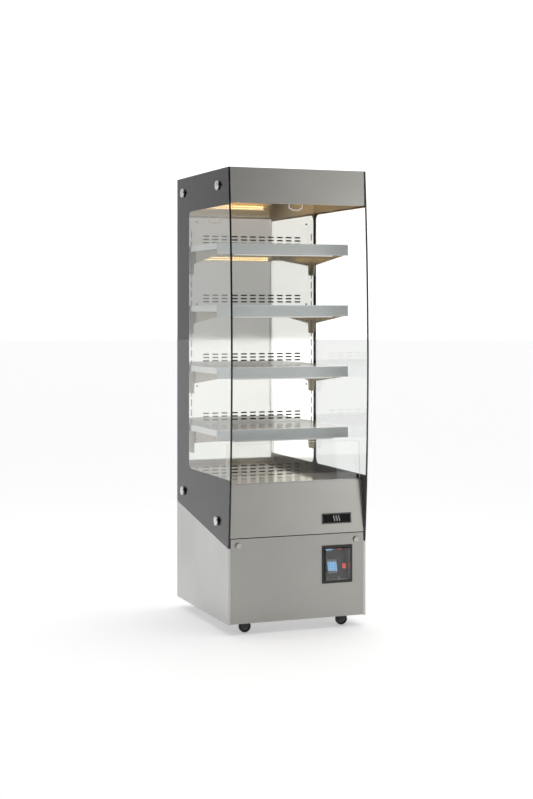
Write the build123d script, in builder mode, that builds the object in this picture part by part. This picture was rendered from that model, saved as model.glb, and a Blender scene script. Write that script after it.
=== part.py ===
"""Heated open-front food cabinet on casters, as separate pieces in millimetres.

+X is to the right, +Y to the rear, +Z up. The origin is on the floor, under the middle of the whole.
"""
import os
from math import cos, hypot, radians, sin, tan
from build123d import *

os.makedirs("parts", exist_ok=True)

# Overall sizes
width = 600.0             # over the outer faces of the side panes
depth = 667.0             # from the front plane to the rear of the panes
height = 1868.0           # floor to the top of the canopy
bulge = 32.0              # how far the front edge of each pane bows forward of the front plane

# Sheet metal and glass
sheet = 1.5
thin_sheet = 1.2
pane = 8.0
gap = 0.5                 # general assembly clearance between neighbouring sheets
running = 0.05            # radial clearance of a turning shaft in its bore

# Base
skirt = 43.0              # floor to the lower edge of the base
pan_depth = 10.0          # depth of the folded side panels
joint_front = 348.0       # lower edge of the panes at the front
joint_rear = 463.0        # and at the rear
upstand_lap = 25.0        # how far the side plate laps below that edge
seam = 384.0              # joint between the fascia and the service panel
fascia_top = 599.0
fascia_lean = 18.0        # how far the fascia leans back over its height
deck = 583.0              # top of the deck plate
back_inset = 3.0          # rear sheets stand this far in front of the rear edge of the panes
back_split = 555.0        # joint between the lower and upper rear sheets
screw_inset = 33.0        # thumb screw from the service panel's side edge
screw_drop = 27.0         # and below its top edge

# Guard at the front of the deck
guard_thick = 5.0
guard_top = 760.0
guard_half = 288.0
guard_lean = 3.0          # degrees
channel_wall = 1.5
channel_height = 18.0

# Canopy
canopy_drop = 142.0       # height of the canopy's front
canopy_lean = 8.0         # its lower edge stands this far forward of its upper edge
canopy_lip = 20.0
liner_drop = 68.0         # underside of the ceiling below the top
liner_front = 90.0        # front of the ceiling, behind the front plane

# Rear wall and its posts
wall_at = 521.0           # front face of the rear wall, behind the front plane
post_width = 28.0
post_lip = 20.0
post_flange = 24.0
post_sheet = 2.0
slot_width = 4.0
slots_per_shelf = 6
air_slot = (28.0, 6.0)    # length and height of one air slot
air_pitch = (42.0, 14.0)
air_count = (11, 3)
air_above_shelf = 17.0    # middle of the lowest row above a shelf
air_above_deck = 8.0
wall_screw_inset = 10.0
wall_screw_low = 617.0
wall_screw_pitch = 353.0
wall_screw_rows = 4

# Shelves
shelf_count = 4
shelf_top_first = 1571.0  # top of the highest shelf
shelf_pitch = 255.0
shelf_front = 150.0       # front of the ticket rail, behind the front plane
shelf_gap = 3.0           # between a shelf and the panes and wall
rail_height = 46.0
rail_depth = 5.0
rail_wall = 1.5
rim_height = 25.0
bracket_thick = 2.0
bracket_front_drop = 44.0
bracket_rear_drop = 78.0
bracket_tab_drop = 121.0
bracket_tab = (34.0, 29.0)  # width of the tab at its top and its bottom
hook_height = 16.0
hook_drop = 6.0
hook_level = 50.0         # lower edge of the upper hook below the shelf top
shelf_lift = 12.0

# Light bars
bar_half = 220.0
bar_reach = 22.0
bar_height = 38.0
bar_top = 12.0            # top of a bar below the shelf top
strip_thick = 1.2

# Pane fixings: distance behind the front plane, and level, for the upper ones below the top
upper_fixings = ((116.0, 66.0), (573.0, 65.0))
lower_fixings = ((573.0, 516.0), (128.0, 442.0))
cap_radius = 19.0
cap_thick = 8.0
stem_radius = 13.0
stem_length = 4.0
shank_radius = 7.0
shank_clearance = 1.0
nut_radius = 11.0
nut_thick = 5.0

# Blind
tube_radius = 16.0
tube_wall = 2.0
roll_radius = 23.5
roller_back = 62.0        # axis of the roller behind the front plane
roller_drop = 56.0        # below the top
roller_half = 268.0
roll_half = 262.0
plug_length = 20.0
pin_radius = 4.0
cloth_thick = 0.8
cloth_gap = 0.3
blind_bar_size = (12.0, 15.0)
blind_bar_drop = 133.0    # lower face of the bar below the top
handle_half = 31.0
handle_dip_half = 14.0
handle_drop = 167.0       # lowest point of the handle below the top
handle_shoulder = 7.0
handle_thick = 5.0
handle_stroke = 4.5

# Casters
caster_across = 232.0     # swivel axis from the middle
caster_trail = 20.0
caster_clearance = 5.0    # between a swivelling wheel and the front or rear plane
caster_head = 20.0        # height of plate, raceway and crown above the wheel
wheel_radius = 25.0
wheel_width = 18.0
axle_radius = 3.0
caster_plate = 60.0
caster_stem = 6.0
fork_sheet = 2.5

# Control window
window_width = 133.0
window_height = 154.0
window_across = 172.5     # middle of the window from the middle of the cabinet
window_level = 260.0
bezel_border = 11.0
bezel_proud = 4.0
bezel_wall = 2.5
console_tilt = 15.0
console_depth = 24.0      # middle of the console plate behind the front plane
box_depth = 52.0          # back of the console box behind the front plane
box_lap = 6.0             # the box stands this far outside the window's opening
controller_size = (46.0, 58.0)
controller_across = -14.0  # middle of the controller from the middle of the window
controller_drop = 13.0
rocker_size = (19.0, 26.0)
rocker_across = 39.0
rocker_angle = 8.0
cover_wall = 2.5
cover_depth = 8.0         # the cover's face in front of the bezel's face
cover_lap = 6.0           # its sides reach this far back past the bezel's face
cover_clearance = 1.0
ear_width = 4.0
nose_radius = 3.0         # round upper edge of the cover, about its pivots

# Pivot of the service panel, on a pin in each side pan
door_pin_radius = 2.0
door_pin_back = 5.0       # behind the front plane
door_pin_level = 49.5
door_ear = (11.0, 12.0)   # depth and height of the panel's ear around the pin
nut_flange = 50.0         # height of the fascia's turned-down flange behind the panel
swing_clearance = 4.0     # between the tipping console box and a notch in that flange

front = (bulge - depth) / 2
rear = front + depth
half = width / 2
inner = half - pane       # inner face of a pane
plate_in = inner - sheet  # inner face of the side plates behind the panes
wall_y = front + wall_at
back_y = rear - back_inset
floor_level = 2 * wheel_radius + caster_head  # underside of the base floor
caster_inset = caster_clearance + wheel_radius + caster_trail
liner_level = height - liner_drop
roller_level = height - roller_drop
blind_bar_level = height - blind_bar_drop
handle_low = height - handle_drop
fixings = tuple((y, height - drop) for y, drop in upper_fixings) + lower_fixings
opening_half = window_width / 2 - bezel_border
opening_rise = window_height / 2 - bezel_border
box_half = opening_half + box_lap - gap
box_rise = opening_rise + box_lap - gap
shelf_tops = [shelf_top_first - shelf_pitch * n for n in range(shelf_count)]
sides = (("left", -1), ("right", 1))


def save(builder, label):
    builder.part.label = label
    export_step(builder.part, f"parts/{label}.step")


def block(x, y, z, mode=Mode.ADD):
    """A block between the two limits given for each axis."""
    with Locations(((x[0] + x[1]) / 2, (y[0] + y[1]) / 2, (z[0] + z[1]) / 2)):
        Box(x[1] - x[0], y[1] - y[0], z[1] - z[0], mode=mode)


def rod(start, radius, length, axis, mode=Mode.ADD):
    """A round bar from start, along +X, +Y or +Z."""
    turn = {"X": (0, 90, 0), "Y": (-90, 0, 0), "Z": (0, 0, 0)}[axis]
    with Locations(Location(start, turn)):
        Cylinder(radius, length, align=(Align.CENTER, Align.CENTER, Align.MIN), mode=mode)


def joint_level(y):
    """Level of the panes' lower edge at y."""
    return joint_front + (joint_rear - joint_front) * (y - front) / depth


# ---- side panels of the base: a folded pan below the pane, and a plate that runs up behind it
for name, side in sides:
    with BuildPart() as base_side:
        with BuildSketch(Plane.YZ.offset(side * half)):
            with BuildLine():
                Polyline((front, skirt), (front, joint_front - gap), (rear, joint_rear - gap),
                         (rear, skirt), close=True)
            make_face()
        extrude(amount=-side * pan_depth)
        offset(amount=-sheet, openings=faces().sort_by(Axis.X)[min(side, 0)], kind=Kind.INTERSECTION)
        plate_front = front + fascia_lean + sheet + gap
        plate_rear = back_y - sheet - gap
        with BuildSketch(Plane.YZ.offset(side * plate_in)):
            with BuildLine():
                Polyline((plate_front, joint_level(plate_front) - upstand_lap),
                         (plate_front, deck - thin_sheet), (plate_rear, deck - thin_sheet),
                         (plate_rear, joint_level(plate_rear) - upstand_lap), close=True)
            make_face()
        extrude(amount=side * sheet)
        start = side * (half - sheet) if side < 0 else inner - pane / 2
        rod((start, front + door_pin_back, door_pin_level), door_pin_radius,
            half - sheet - (inner - pane / 2), "X")
        for y, z in fixings[2:]:
            rod((side * plate_in - (sheet if side < 0 else 0), front + y, z),
                shank_radius + shank_clearance / 2, sheet, "X", Mode.SUBTRACT)
    save(base_side, f"base_side_{name}")

# ---- floor of the base, with a stiffening edge at the front and the rear
floor_half = half - pan_depth - gap
floor_front = front + 14
floor_rear = back_y - sheet - gap
floor_edge = 12.0
with BuildPart() as base_floor:
    block((-floor_half, floor_half), (floor_front, floor_rear), (floor_level, floor_level + sheet))
    for y in ((floor_front, floor_front + sheet), (floor_rear - sheet, floor_rear)):
        block((-floor_half, floor_half), y, (floor_level, floor_level + floor_edge))
save(base_floor, "base_floor")

# ---- lower rear panel with rows of cooling slots and the opening for the power inlet
vent_columns = 9
vent_rows = 4
vent_pitch = (46.0, 22.0)
vent_slot = (34.0, 6.0)
vent_level = 430.0
inlet_size = (28.0, 21.0)
inlet_across = 190.0
inlet_level = 130.0
back_half = half - pan_depth - gap
with BuildPart() as base_back_panel:
    block((-back_half, back_half), (back_y - sheet, back_y), (skirt + gap, back_split - gap))
    with BuildSketch(Plane.XZ.offset(-back_y)):
        with Locations((0, vent_level)):
            with GridLocations(*vent_pitch, vent_columns, vent_rows):
                SlotOverall(*vent_slot)
        with Locations((inlet_across, inlet_level)):
            Rectangle(inlet_size[0] + gap, inlet_size[1] + gap)
    extrude(amount=sheet, mode=Mode.SUBTRACT)
save(base_back_panel, "base_back_panel")

# ---- power inlet: a flanged socket with three pins in a recess
inlet_flange = (50.0, 27.0)
inlet_depth = 24.0
inlet_pin_pitch = 7.0
with BuildPart() as power_inlet:
    with BuildSketch(Plane.XZ.offset(-back_y)):
        with Locations((inlet_across, inlet_level)):
            RectangleRounded(*inlet_flange, 5)
    extrude(amount=-2)
    with BuildSketch(Plane.XZ.offset(-back_y)):
        with Locations((inlet_across, inlet_level)):
            Rectangle(*inlet_size)
    extrude(amount=inlet_depth)
    with BuildSketch(Plane.XZ.offset(-(back_y + 2))):
        with Locations((inlet_across, inlet_level)):
            Rectangle(inlet_size[0] - 4, inlet_size[1] - 4)
    extrude(amount=inlet_depth - 2, mode=Mode.SUBTRACT)
    for step in (-1, 0, 1):
        rise = 2.0 if step == 0 else -2.0
        block((inlet_across + step * inlet_pin_pitch - 1, inlet_across + step * inlet_pin_pitch + 1),
              (back_y - inlet_depth + 2, back_y - 4),
              (inlet_level + rise - 2, inlet_level + rise + 2))
save(power_inlet, "power_inlet")

# ---- fascia: leans back, turned in at the seam and down behind the service panel
fascia_half = inner - gap
nut_flange_y = front + 12.0
nut_flange_low = seam - nut_flange
box_swing = hypot(box_depth - door_pin_back, window_level + box_rise - door_pin_level)
notch_half = box_half + swing_clearance
notch_top = door_pin_level + box_swing + swing_clearance
screw_across = half - pan_depth - gap - screw_inset
screw_level = seam - screw_drop
screw_shank = 2.5
with BuildPart() as fascia_panel:
    with BuildSketch(Plane.YZ.offset(-fascia_half)):
        with BuildLine():
            fold = Polyline((front + fascia_lean + 4, deck), (front + fascia_lean + 4, fascia_top),
                            (front + fascia_lean, fascia_top), (front, seam + gap),
                            (nut_flange_y, seam + gap), (nut_flange_y, nut_flange_low))
            offset(fold, amount=sheet, side=Side.LEFT, kind=Kind.INTERSECTION)
        make_face()
    extrude(amount=2 * fascia_half)
    for side in (-1, 1):
        x = sorted((side * (half - pan_depth - gap), side * half))
        block(x, (nut_flange_y - gap, nut_flange_y + 2 * sheet), (nut_flange_low - gap, seam),
              Mode.SUBTRACT)
        rod((side * screw_across, nut_flange_y - 2 * sheet, screw_level),
            screw_shank + shank_clearance, 4 * sheet, "Y", Mode.SUBTRACT)
    block((window_across - notch_half, window_across + notch_half),
          (nut_flange_y - gap, nut_flange_y + 2 * sheet), (nut_flange_low - gap, notch_top), Mode.SUBTRACT)
save(fascia_panel, "fascia_panel")

# ---- deck plate of the lowest food level
deck_front = front + fascia_lean + 4 + sheet + gap
with BuildPart() as deck_plate:
    block((-fascia_half, fascia_half), (deck_front, wall_y - gap), (deck - thin_sheet, deck))
    block((-plate_in + gap, plate_in - gap), (deck_front, deck_front + thin_sheet), (deck - 20, deck))
    block((-plate_in + gap, plate_in - gap), (wall_y - gap - thin_sheet, wall_y - gap), (deck - 20, deck))
save(deck_plate, "deck_plate")

# ---- channel and clear guard, both leaning back a little
lean = tan(radians(guard_lean))
channel_y = deck_front + 5
with BuildPart() as guard_channel:
    with BuildSketch(Plane.YZ.offset(-guard_half - channel_wall)):
        with Locations(Location((channel_y, deck + 1), -guard_lean)):
            Rectangle(guard_thick + 2 * channel_wall + 2 * gap / 5, channel_height,
                      align=(Align.CENTER, Align.MIN))
    extrude(amount=2 * (guard_half + channel_wall))
    with BuildSketch(Plane.YZ.offset(-guard_half - channel_wall)):
        with Locations(Location((channel_y + lean * channel_wall, deck + 1 + channel_wall), -guard_lean)):
            Rectangle(guard_thick + 2 * gap / 5, channel_height, align=(Align.CENTER, Align.MIN))
    extrude(amount=2 * (guard_half + channel_wall), mode=Mode.SUBTRACT)
save(guard_channel, "guard_channel")

guard_foot = deck + 1 + channel_wall + 0.2
with BuildPart() as front_guard:
    with BuildSketch(Plane.YZ.offset(-guard_half)):
        with Locations(Location((channel_y + lean * (channel_wall + 0.2), guard_foot), -guard_lean)):
            Rectangle(guard_thick, guard_top - guard_foot, align=(Align.CENTER, Align.MIN))
    extrude(amount=2 * guard_half)
    fillet(edges().filter_by(Axis.X).group_by(Axis.Z)[-1], 1)
save(front_guard, "front_guard")

# ---- nameplate on the fascia
plate_size = (130.0, 43.0)
plate_across = 172.0
plate_level = 446.0
plate_thick = 1.5
slope = fascia_lean / (fascia_top - seam - gap)
fascia_slope = Plane(origin=(0, front + slope * (plate_level - seam - gap), plate_level), x_dir=(1, 0, 0),
                     z_dir=(0, -1, slope))
with BuildPart() as nameplate:
    with BuildSketch(fascia_slope):
        with Locations((plate_across, 0)):
            RectangleRounded(*plate_size, 1.5)
    extrude(amount=plate_thick)
save(nameplate, "nameplate")

# ---- side panes: straight at the top, rear and lower edge, bowed at the front
for name, side in sides:
    with BuildPart() as glass:
        with BuildSketch(Plane.YZ.offset(side * half)):
            with BuildLine():
                Polyline((front, joint_front), (rear, joint_rear), (rear, height), (front, height))
                ThreePointArc((front, height), (front - bulge, (height + joint_front) / 2),
                              (front, joint_front))
            make_face()
            with Locations([(front + y, z) for y, z in fixings]):
                Circle(shank_radius + shank_clearance, mode=Mode.SUBTRACT)
        extrude(amount=-side * pane)
        chamfer(edges().filter_by(GeomType.LINE).filter_by(Axis.X, reverse=True), 0.6)
    save(glass, f"glass_{name}")

# ---- pane fixings: domed cap, stem, shank through the pane, and nut behind the plate
with BuildPart() as glass_fixings:
    for side in (-1, 1):
        for y, z in fixings:
            out = Plane(origin=(side * half, front + y, z), z_dir=(side, 0, 0))
            with BuildSketch(out):
                Circle(stem_radius)
            extrude(amount=stem_length)
            with BuildSketch(out.offset(stem_length)):
                Circle(cap_radius)
            extrude(amount=cap_thick)
            with BuildSketch(out.offset(-pane - sheet)):
                Circle(shank_radius)
            extrude(amount=pane + sheet)
            with BuildSketch(out.offset(-pane - sheet)):
                RegularPolygon(nut_radius, 6)
            extrude(amount=-nut_thick)
    fillet(edges().filter_by(GeomType.CIRCLE).group_by(Axis.X)[-1], cap_thick / 3)
    fillet(edges().filter_by(GeomType.CIRCLE).group_by(Axis.X)[0], cap_thick / 3)
save(glass_fixings, "glass_fixings")

# ---- canopy: front, top and side plates of folded sheet
canopy_low = height - canopy_drop
with BuildPart() as canopy_shell:
    with BuildSketch(Plane.YZ.offset(-inner + gap)):
        with BuildLine():
            bend = Polyline((back_y, height), (front, height), (front - canopy_lean, canopy_low),
                            (front - canopy_lean + canopy_lip, canopy_low),
                            (front - canopy_lean + canopy_lip, canopy_low + 8))
            offset(bend, amount=sheet, side=Side.LEFT, kind=Kind.INTERSECTION)
        make_face()
    extrude(amount=2 * (inner - gap))
    for side in (-1, 1):
        low, high = sorted((side * plate_in, side * inner))
        with BuildSketch(Plane.YZ.offset(low)):
            with BuildLine():
                Polyline((front + sheet / 2, height - sheet / 2), (back_y, height - sheet / 2),
                         (back_y, canopy_low), (front - canopy_lean + sheet, canopy_low), close=True)
            make_face()
            with Locations([(front + y, z) for y, z in fixings[:2]]):
                Circle(shank_radius + shank_clearance / 2, mode=Mode.SUBTRACT)
        extrude(amount=high - low)
save(canopy_shell, "canopy_shell")

# ---- ceiling sheet, turned up at its front edge to shield the blind
cover_sheet_half = plate_in - gap
liner_half = plate_in - nut_thick - gap
with BuildPart() as canopy_liner:
    block((-liner_half, liner_half), (front + liner_front, wall_y - gap),
          (liner_level, liner_level + thin_sheet))
    block((-liner_half, liner_half), (front + liner_front, front + liner_front + thin_sheet),
          (liner_level, height - 2 * sheet))
save(canopy_liner, "canopy_liner")

# ---- slotted posts at both ends of the rear wall
post_out = plate_in - gap
post_in = post_out - post_width
slot_across = post_out - post_width / 2
slot_pitch = shelf_pitch / slots_per_shelf
slot_height = hook_height + shelf_lift + 1
slot_rows = slots_per_shelf * shelf_count - 2
lowest_hook = shelf_tops[-1] - hook_level - slot_pitch
lip_start = thin_sheet + 0.2
with BuildPart() as uprights:
    for side in (-1, 1):
        for x, y in (((post_in, post_out), (0, post_sheet)),
                     ((post_in - post_lip, post_in + post_sheet), (lip_start, lip_start + post_sheet)),
                     ((post_out - post_sheet, post_out), (0, post_flange))):
            block(sorted(side * v for v in x), (wall_y + y[0], wall_y + y[1]),
                  (floor_level + sheet, height - 2 * sheet))
    with BuildSketch(Plane.XZ.offset(-wall_y)):
        for side in (-1, 1):
            for row in range(slot_rows):
                with Locations((side * slot_across, lowest_hook - gap / 2 + row * slot_pitch)):
                    Rectangle(slot_width, slot_height, align=(Align.CENTER, Align.MIN))
    extrude(amount=-post_sheet, mode=Mode.SUBTRACT)
save(uprights, "uprights")

# ---- rear wall with rows of air slots above every food level
wall_half = post_in - gap / 2
air_rows = [top + air_above_shelf for top in shelf_tops] + [deck + air_above_deck]
wall_screws_at = [(side * (wall_half - wall_screw_inset), wall_screw_low + wall_screw_pitch * row)
                  for side in (-1, 1) for row in range(wall_screw_rows)]
with BuildPart() as back_wall:
    block((-wall_half, wall_half), (wall_y, wall_y + thin_sheet), (deck - 30, liner_level - gap))
    with BuildSketch(Plane.XZ.offset(-wall_y)):
        for level in air_rows:
            with Locations((0, level + air_pitch[1])):
                with GridLocations(*air_pitch, *air_count):
                    SlotOverall(*air_slot)
        with Locations(wall_screws_at):
            Circle(2.5)
    extrude(amount=-thin_sheet, mode=Mode.SUBTRACT)
save(back_wall, "back_wall")

# ---- countersunk-style screws that hold the wall to the posts
with BuildPart() as wall_screws:
    for x, z in wall_screws_at:
        rod((x, wall_y - 1.6, z), 4, 1.6, "Y")
        rod((x, wall_y, z), 2.2, thin_sheet + 0.2, "Y")
    fillet(edges().filter_by(GeomType.CIRCLE).group_by(Axis.Y)[0], 0.9)
save(wall_screws, "wall_screws")

# ---- upper rear sheet
with BuildPart() as rear_cover:
    block((-cover_sheet_half, cover_sheet_half), (back_y - sheet, back_y),
          (back_split + gap, height - 2 * sheet))
    for side in (-1, 1):
        x = sorted((side * cover_sheet_half, side * (cover_sheet_half - sheet)))
        block(x, (back_y - 20, back_y), (back_split + 30, height - 2 * sheet))
save(rear_cover, "rear_cover")

# ---- cross-flow fan in a trough below the air duct
fan_y = front + 600.0
fan_level = 500.0
fan_radius = 42.0
fan_shell = 49.0
fan_half = plate_in - nut_thick - gap
rotor_end = 214.0
shaft_radius = 4.0
with BuildPart() as fan_housing:
    with BuildSketch(Plane.YZ.offset(-fan_half)):
        with Locations((fan_y, fan_level)):
            Circle(fan_shell)
            Circle(fan_shell - sheet, mode=Mode.SUBTRACT)
            Rectangle(2 * fan_shell, fan_shell, align=(Align.CENTER, Align.MIN), mode=Mode.SUBTRACT)
            for side in (-1, 1):
                with Locations((side * (fan_shell - sheet / 2), 0)):
                    Rectangle(sheet, 45, align=(Align.CENTER, Align.MIN))
    extrude(amount=2 * fan_half)
    for x in (-fan_half, rotor_end + 4):
        with BuildSketch(Plane.YZ.offset(x)):
            with Locations((fan_y, fan_level)):
                Circle(fan_shell - sheet / 2)
                Circle(shaft_radius + running, mode=Mode.SUBTRACT)
        extrude(amount=3)
    with BuildSketch(Plane.YZ.offset(rotor_end + 7 + 12)):
        with Locations((fan_y, fan_level)):
            Circle(fan_shell - sheet / 2)
            Circle(shaft_radius + running, mode=Mode.SUBTRACT)
    extrude(amount=40)
save(fan_housing, "fan_housing")

# ---- fan rotor: blades between discs on a shaft
blade_count = 24
with BuildPart() as fan_rotor:
    rod((-fan_half + 1, fan_y, fan_level), shaft_radius, fan_half + rotor_end + 30, "X")
    for x in (-fan_half + 6, -fan_half / 2, rotor_end / 2, rotor_end - 2):
        rod((x, fan_y, fan_level), fan_radius, 2, "X")
    with BuildSketch(Plane.YZ.offset(-fan_half + 6)):
        with Locations((fan_y, fan_level)):
            with PolarLocations(fan_radius - 5, blade_count):
                Rectangle(9, 1.2)
    extrude(amount=fan_half - 6 + rotor_end)
save(fan_rotor, "fan_rotor")

# ---- sheathed heating element: three hairpin runs in the duct, ends through the back of the deck
heater_radius = 4.0
heater_half = 225.0
heater_y = fan_y - 5
heater_low = fan_level + 130
heater_step = 36.0
with BuildPart() as heating_element:
    with BuildLine() as heater_path:
        FilletPolyline((-heater_half - 20, heater_y, heater_low - 60),
                       (-heater_half - 20, heater_y, heater_low), (heater_half, heater_y, heater_low),
                       (heater_half, heater_y, heater_low + heater_step),
                       (-heater_half, heater_y, heater_low + heater_step),
                       (-heater_half, heater_y, heater_low + 2 * heater_step),
                       (heater_half + 20, heater_y, heater_low + 2 * heater_step),
                       (heater_half + 20, heater_y, heater_low - 60), radius=16)
    with BuildSketch(Plane(origin=(-heater_half - 20, heater_y, heater_low - 60), z_dir=(0, 0, 1))):
        Circle(heater_radius)
    sweep()
save(heating_element, "heating_element")

# ---- supply for the light bars, on the base floor
supply_size = (190.0, 62.0, 36.0)
supply_at = (-120.0, 250.0)
with BuildPart() as power_supply:
    with BuildSketch(Plane.XY.offset(floor_level + sheet)):
        with Locations((supply_at[0], front + supply_at[1])):
            Rectangle(supply_size[0] + 30, supply_size[1])
    extrude(amount=3)
    with BuildSketch(Plane.XY.offset(floor_level + sheet)):
        with Locations((supply_at[0], front + supply_at[1])):
            Rectangle(supply_size[0], supply_size[1])
    extrude(amount=supply_size[2])
    fillet(edges().filter_by(Axis.X).group_by(Axis.Z)[-1], 3)
save(power_supply, "power_supply")


def light_bar(y, top):
    """Corners of a light bar's section, from its upper front corner; the long slope faces down and back."""
    return ((y, top), (y + bar_reach, top), (y + bar_reach, top - 14), (y + 7, top - bar_height),
            (y, top - bar_height))


# ---- light bars: one behind the canopy's shield, one under the front of every shelf
light_places = [("canopy_light", front + liner_front + 6, liner_level)]
for number, top in enumerate(shelf_tops, 1):
    light_places.append((f"shelf_{number}_light", front + shelf_front + rail_depth + 2.5, top - bar_top))
for label, y, top in light_places:
    corners = light_bar(y, top)
    with BuildPart() as light:
        with BuildSketch(Plane.YZ.offset(-bar_half)):
            with BuildLine():
                Polyline(*corners, close=True)
            make_face()
        extrude(amount=2 * bar_half)
        slope_top, slope_low = Vector(0, *corners[2]), Vector(0, *corners[3])
        along = (slope_top - slope_low).normalized()
        face_plane = Plane(origin=(slope_top + slope_low) * 0.5, x_dir=(1, 0, 0),
                           z_dir=along.cross(Vector(-1, 0, 0)))
        with BuildSketch(face_plane):
            Rectangle(2 * bar_half - 8, (slope_top - slope_low).length - 4)
        extrude(amount=strip_thick)
    save(light, label)

# ---- shelves: tray with ticket rail, and two hooked brackets
tray_half = inner - shelf_gap - thin_sheet
tray_front = front + shelf_front + rail_depth
tray_rear = wall_y - shelf_gap
rail_half = tray_half + thin_sheet
for number, top in enumerate(shelf_tops, 1):
    with BuildPart() as tray:
        block((-tray_half, tray_half), (tray_front, tray_rear), (top - thin_sheet, top))
        for side in (-1, 1):
            x = sorted((side * tray_half, side * (tray_half - thin_sheet)))
            block(x, (tray_front, tray_rear), (top - rim_height, top))
        block((-tray_half, tray_half), (tray_front, tray_front + thin_sheet), (top - rail_height + 3, top))
        block((-slot_across + 8, slot_across - 8), (tray_rear - thin_sheet, tray_rear), (top - 15, top))
        with BuildSketch(Plane.YZ.offset(-rail_half)):
            with BuildLine():
                rail = Polyline((front + shelf_front, top + 1), (tray_front, top + 1),
                                (tray_front, top + 1 - rail_height),
                                (front + shelf_front, top + 1 - rail_height))
                offset(rail, amount=rail_wall, side=Side.RIGHT, kind=Kind.INTERSECTION)
            make_face()
        extrude(amount=2 * rail_half)
    save(tray, f"shelf_{number}_tray")

    bracket_rear = wall_y - 1
    tab_front = bracket_rear - bracket_tab[0]
    with BuildPart() as brackets:
        for side in (-1, 1):
            with BuildSketch(Plane.YZ.offset(side * slot_across - bracket_thick / 2)):
                with BuildLine():
                    Polyline((tray_front + 3, top - thin_sheet), (tray_front + 3, top - bracket_front_drop),
                             (tab_front, top - bracket_rear_drop),
                             (bracket_rear - bracket_tab[1], top - bracket_tab_drop),
                             (bracket_rear, top - bracket_tab_drop), (bracket_rear, top - thin_sheet),
                             close=True)
                make_face()
                behind_post = wall_y + post_sheet + 1
                for level in (top - hook_level, top - hook_level - slot_pitch):
                    with BuildLine():
                        Polyline((bracket_rear, level + hook_height), (behind_post + 3, level + hook_height),
                                 (behind_post + 3, level - hook_drop), (behind_post, level - hook_drop),
                                 (behind_post, level), (bracket_rear, level), close=True)
                    make_face()
            extrude(amount=bracket_thick)
    save(brackets, f"shelf_{number}_brackets")

# ---- blind: fixed end brackets with pins, the roller, the wound cloth, the drop, its bar and handle
roller_y = front + roller_back
with BuildPart() as blind_brackets:
    for side in (-1, 1):
        x = sorted((side * (plate_in - 0.1), side * (plate_in - 2.1)))
        block(x, (roller_y - 22, roller_y + 22), (roller_level - 22, height - 2 * sheet))
        start = min(side * (plate_in - 2.1), side * (roller_half - plug_length + 2))
        rod((start, roller_y, roller_level), pin_radius,
            plate_in - 2.1 - roller_half + plug_length - 2, "X")
save(blind_brackets, "blind_brackets")

with BuildPart() as blind_roller:
    rod((-roller_half, roller_y, roller_level), tube_radius, 2 * roller_half, "X")
    rod((-roller_half + plug_length, roller_y, roller_level), tube_radius - tube_wall,
        2 * (roller_half - plug_length), "X", Mode.SUBTRACT)
    rod((-roller_half, roller_y, roller_level), pin_radius + running, 2 * roller_half, "X", Mode.SUBTRACT)
save(blind_roller, "blind_roller")

with BuildPart() as blind_roll:
    rod((-roll_half, roller_y, roller_level), roll_radius, 2 * roll_half, "X")
    rod((-roll_half, roller_y, roller_level), tube_radius, 2 * roll_half, "X", Mode.SUBTRACT)
save(blind_roll, "blind_roll")

cloth_back = roller_y - roll_radius - cloth_gap
bar_high = blind_bar_level + blind_bar_size[1]
with BuildPart() as blind_fabric:
    block((-roll_half, roll_half), (cloth_back - cloth_thick, cloth_back), (bar_high, roller_level))
save(blind_fabric, "blind_fabric")

bar_y = cloth_back - cloth_thick / 2
with BuildPart() as blind_bar:
    with BuildSketch(Plane.YZ.offset(-roll_half)):
        with Locations((bar_y, blind_bar_level + blind_bar_size[1] / 2)):
            RectangleRounded(*blind_bar_size, 3)
    extrude(amount=2 * roll_half)
save(blind_bar, "blind_bar")

handle_back = bar_y - blind_bar_size[0] / 2
handle_y = handle_back - 3 - handle_thick
handle_mid = handle_low + handle_shoulder
with BuildPart() as blind_handle:
    with BuildSketch(Plane.XZ.offset(-(handle_y + handle_thick))):
        with BuildLine():
            Polyline((-handle_half, bar_high - 2), (-handle_half, handle_mid),
                     (-handle_dip_half - 5, handle_mid), (-handle_dip_half, handle_low),
                     (handle_dip_half, handle_low), (handle_dip_half + 5, handle_mid),
                     (handle_half, handle_mid), (handle_half, bar_high - 2), close=True)
        make_face()
        with BuildLine():
            Polyline((-handle_half + handle_stroke, blind_bar_level - 2),
                     (-handle_half + handle_stroke, handle_mid + handle_stroke),
                     (-handle_dip_half - 3, handle_mid + handle_stroke),
                     (-handle_dip_half + 2, handle_low + handle_stroke),
                     (handle_dip_half - 2, handle_low + handle_stroke),
                     (handle_dip_half + 3, handle_mid + handle_stroke),
                     (handle_half - handle_stroke, handle_mid + handle_stroke),
                     (handle_half - handle_stroke, blind_bar_level - 2), close=True)
        make_face(mode=Mode.SUBTRACT)
    extrude(amount=handle_thick)
    fillet(edges().filter_by(Axis.Y), 1)
    block((-handle_half, handle_half), (handle_y + handle_thick, handle_back),
          (blind_bar_level, bar_high - 2))
save(blind_handle, "blind_handle")

# ---- casters: fixed plates with raceways, swivelling forks with axles, and wheels
corners = [(f"{end}_{name}", side * caster_across, y, side)
           for end, y in (("front", front + caster_inset), ("rear", rear - caster_inset))
           for name, side in sides]
raceway_low = floor_level - 9.5
with BuildPart() as caster_plates:
    for label, x, y, side in corners:
        block((x - caster_plate / 2, x + caster_plate / 2), (y - caster_plate / 2, y + caster_plate / 2),
              (floor_level - 2.5, floor_level))
        rod((x, y, raceway_low), 17, floor_level - raceway_low, "Z")
        rod((x, y, raceway_low), caster_stem + running, floor_level - raceway_low - 2.5, "Z", Mode.SUBTRACT)
save(caster_plates, "caster_plates")

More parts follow.
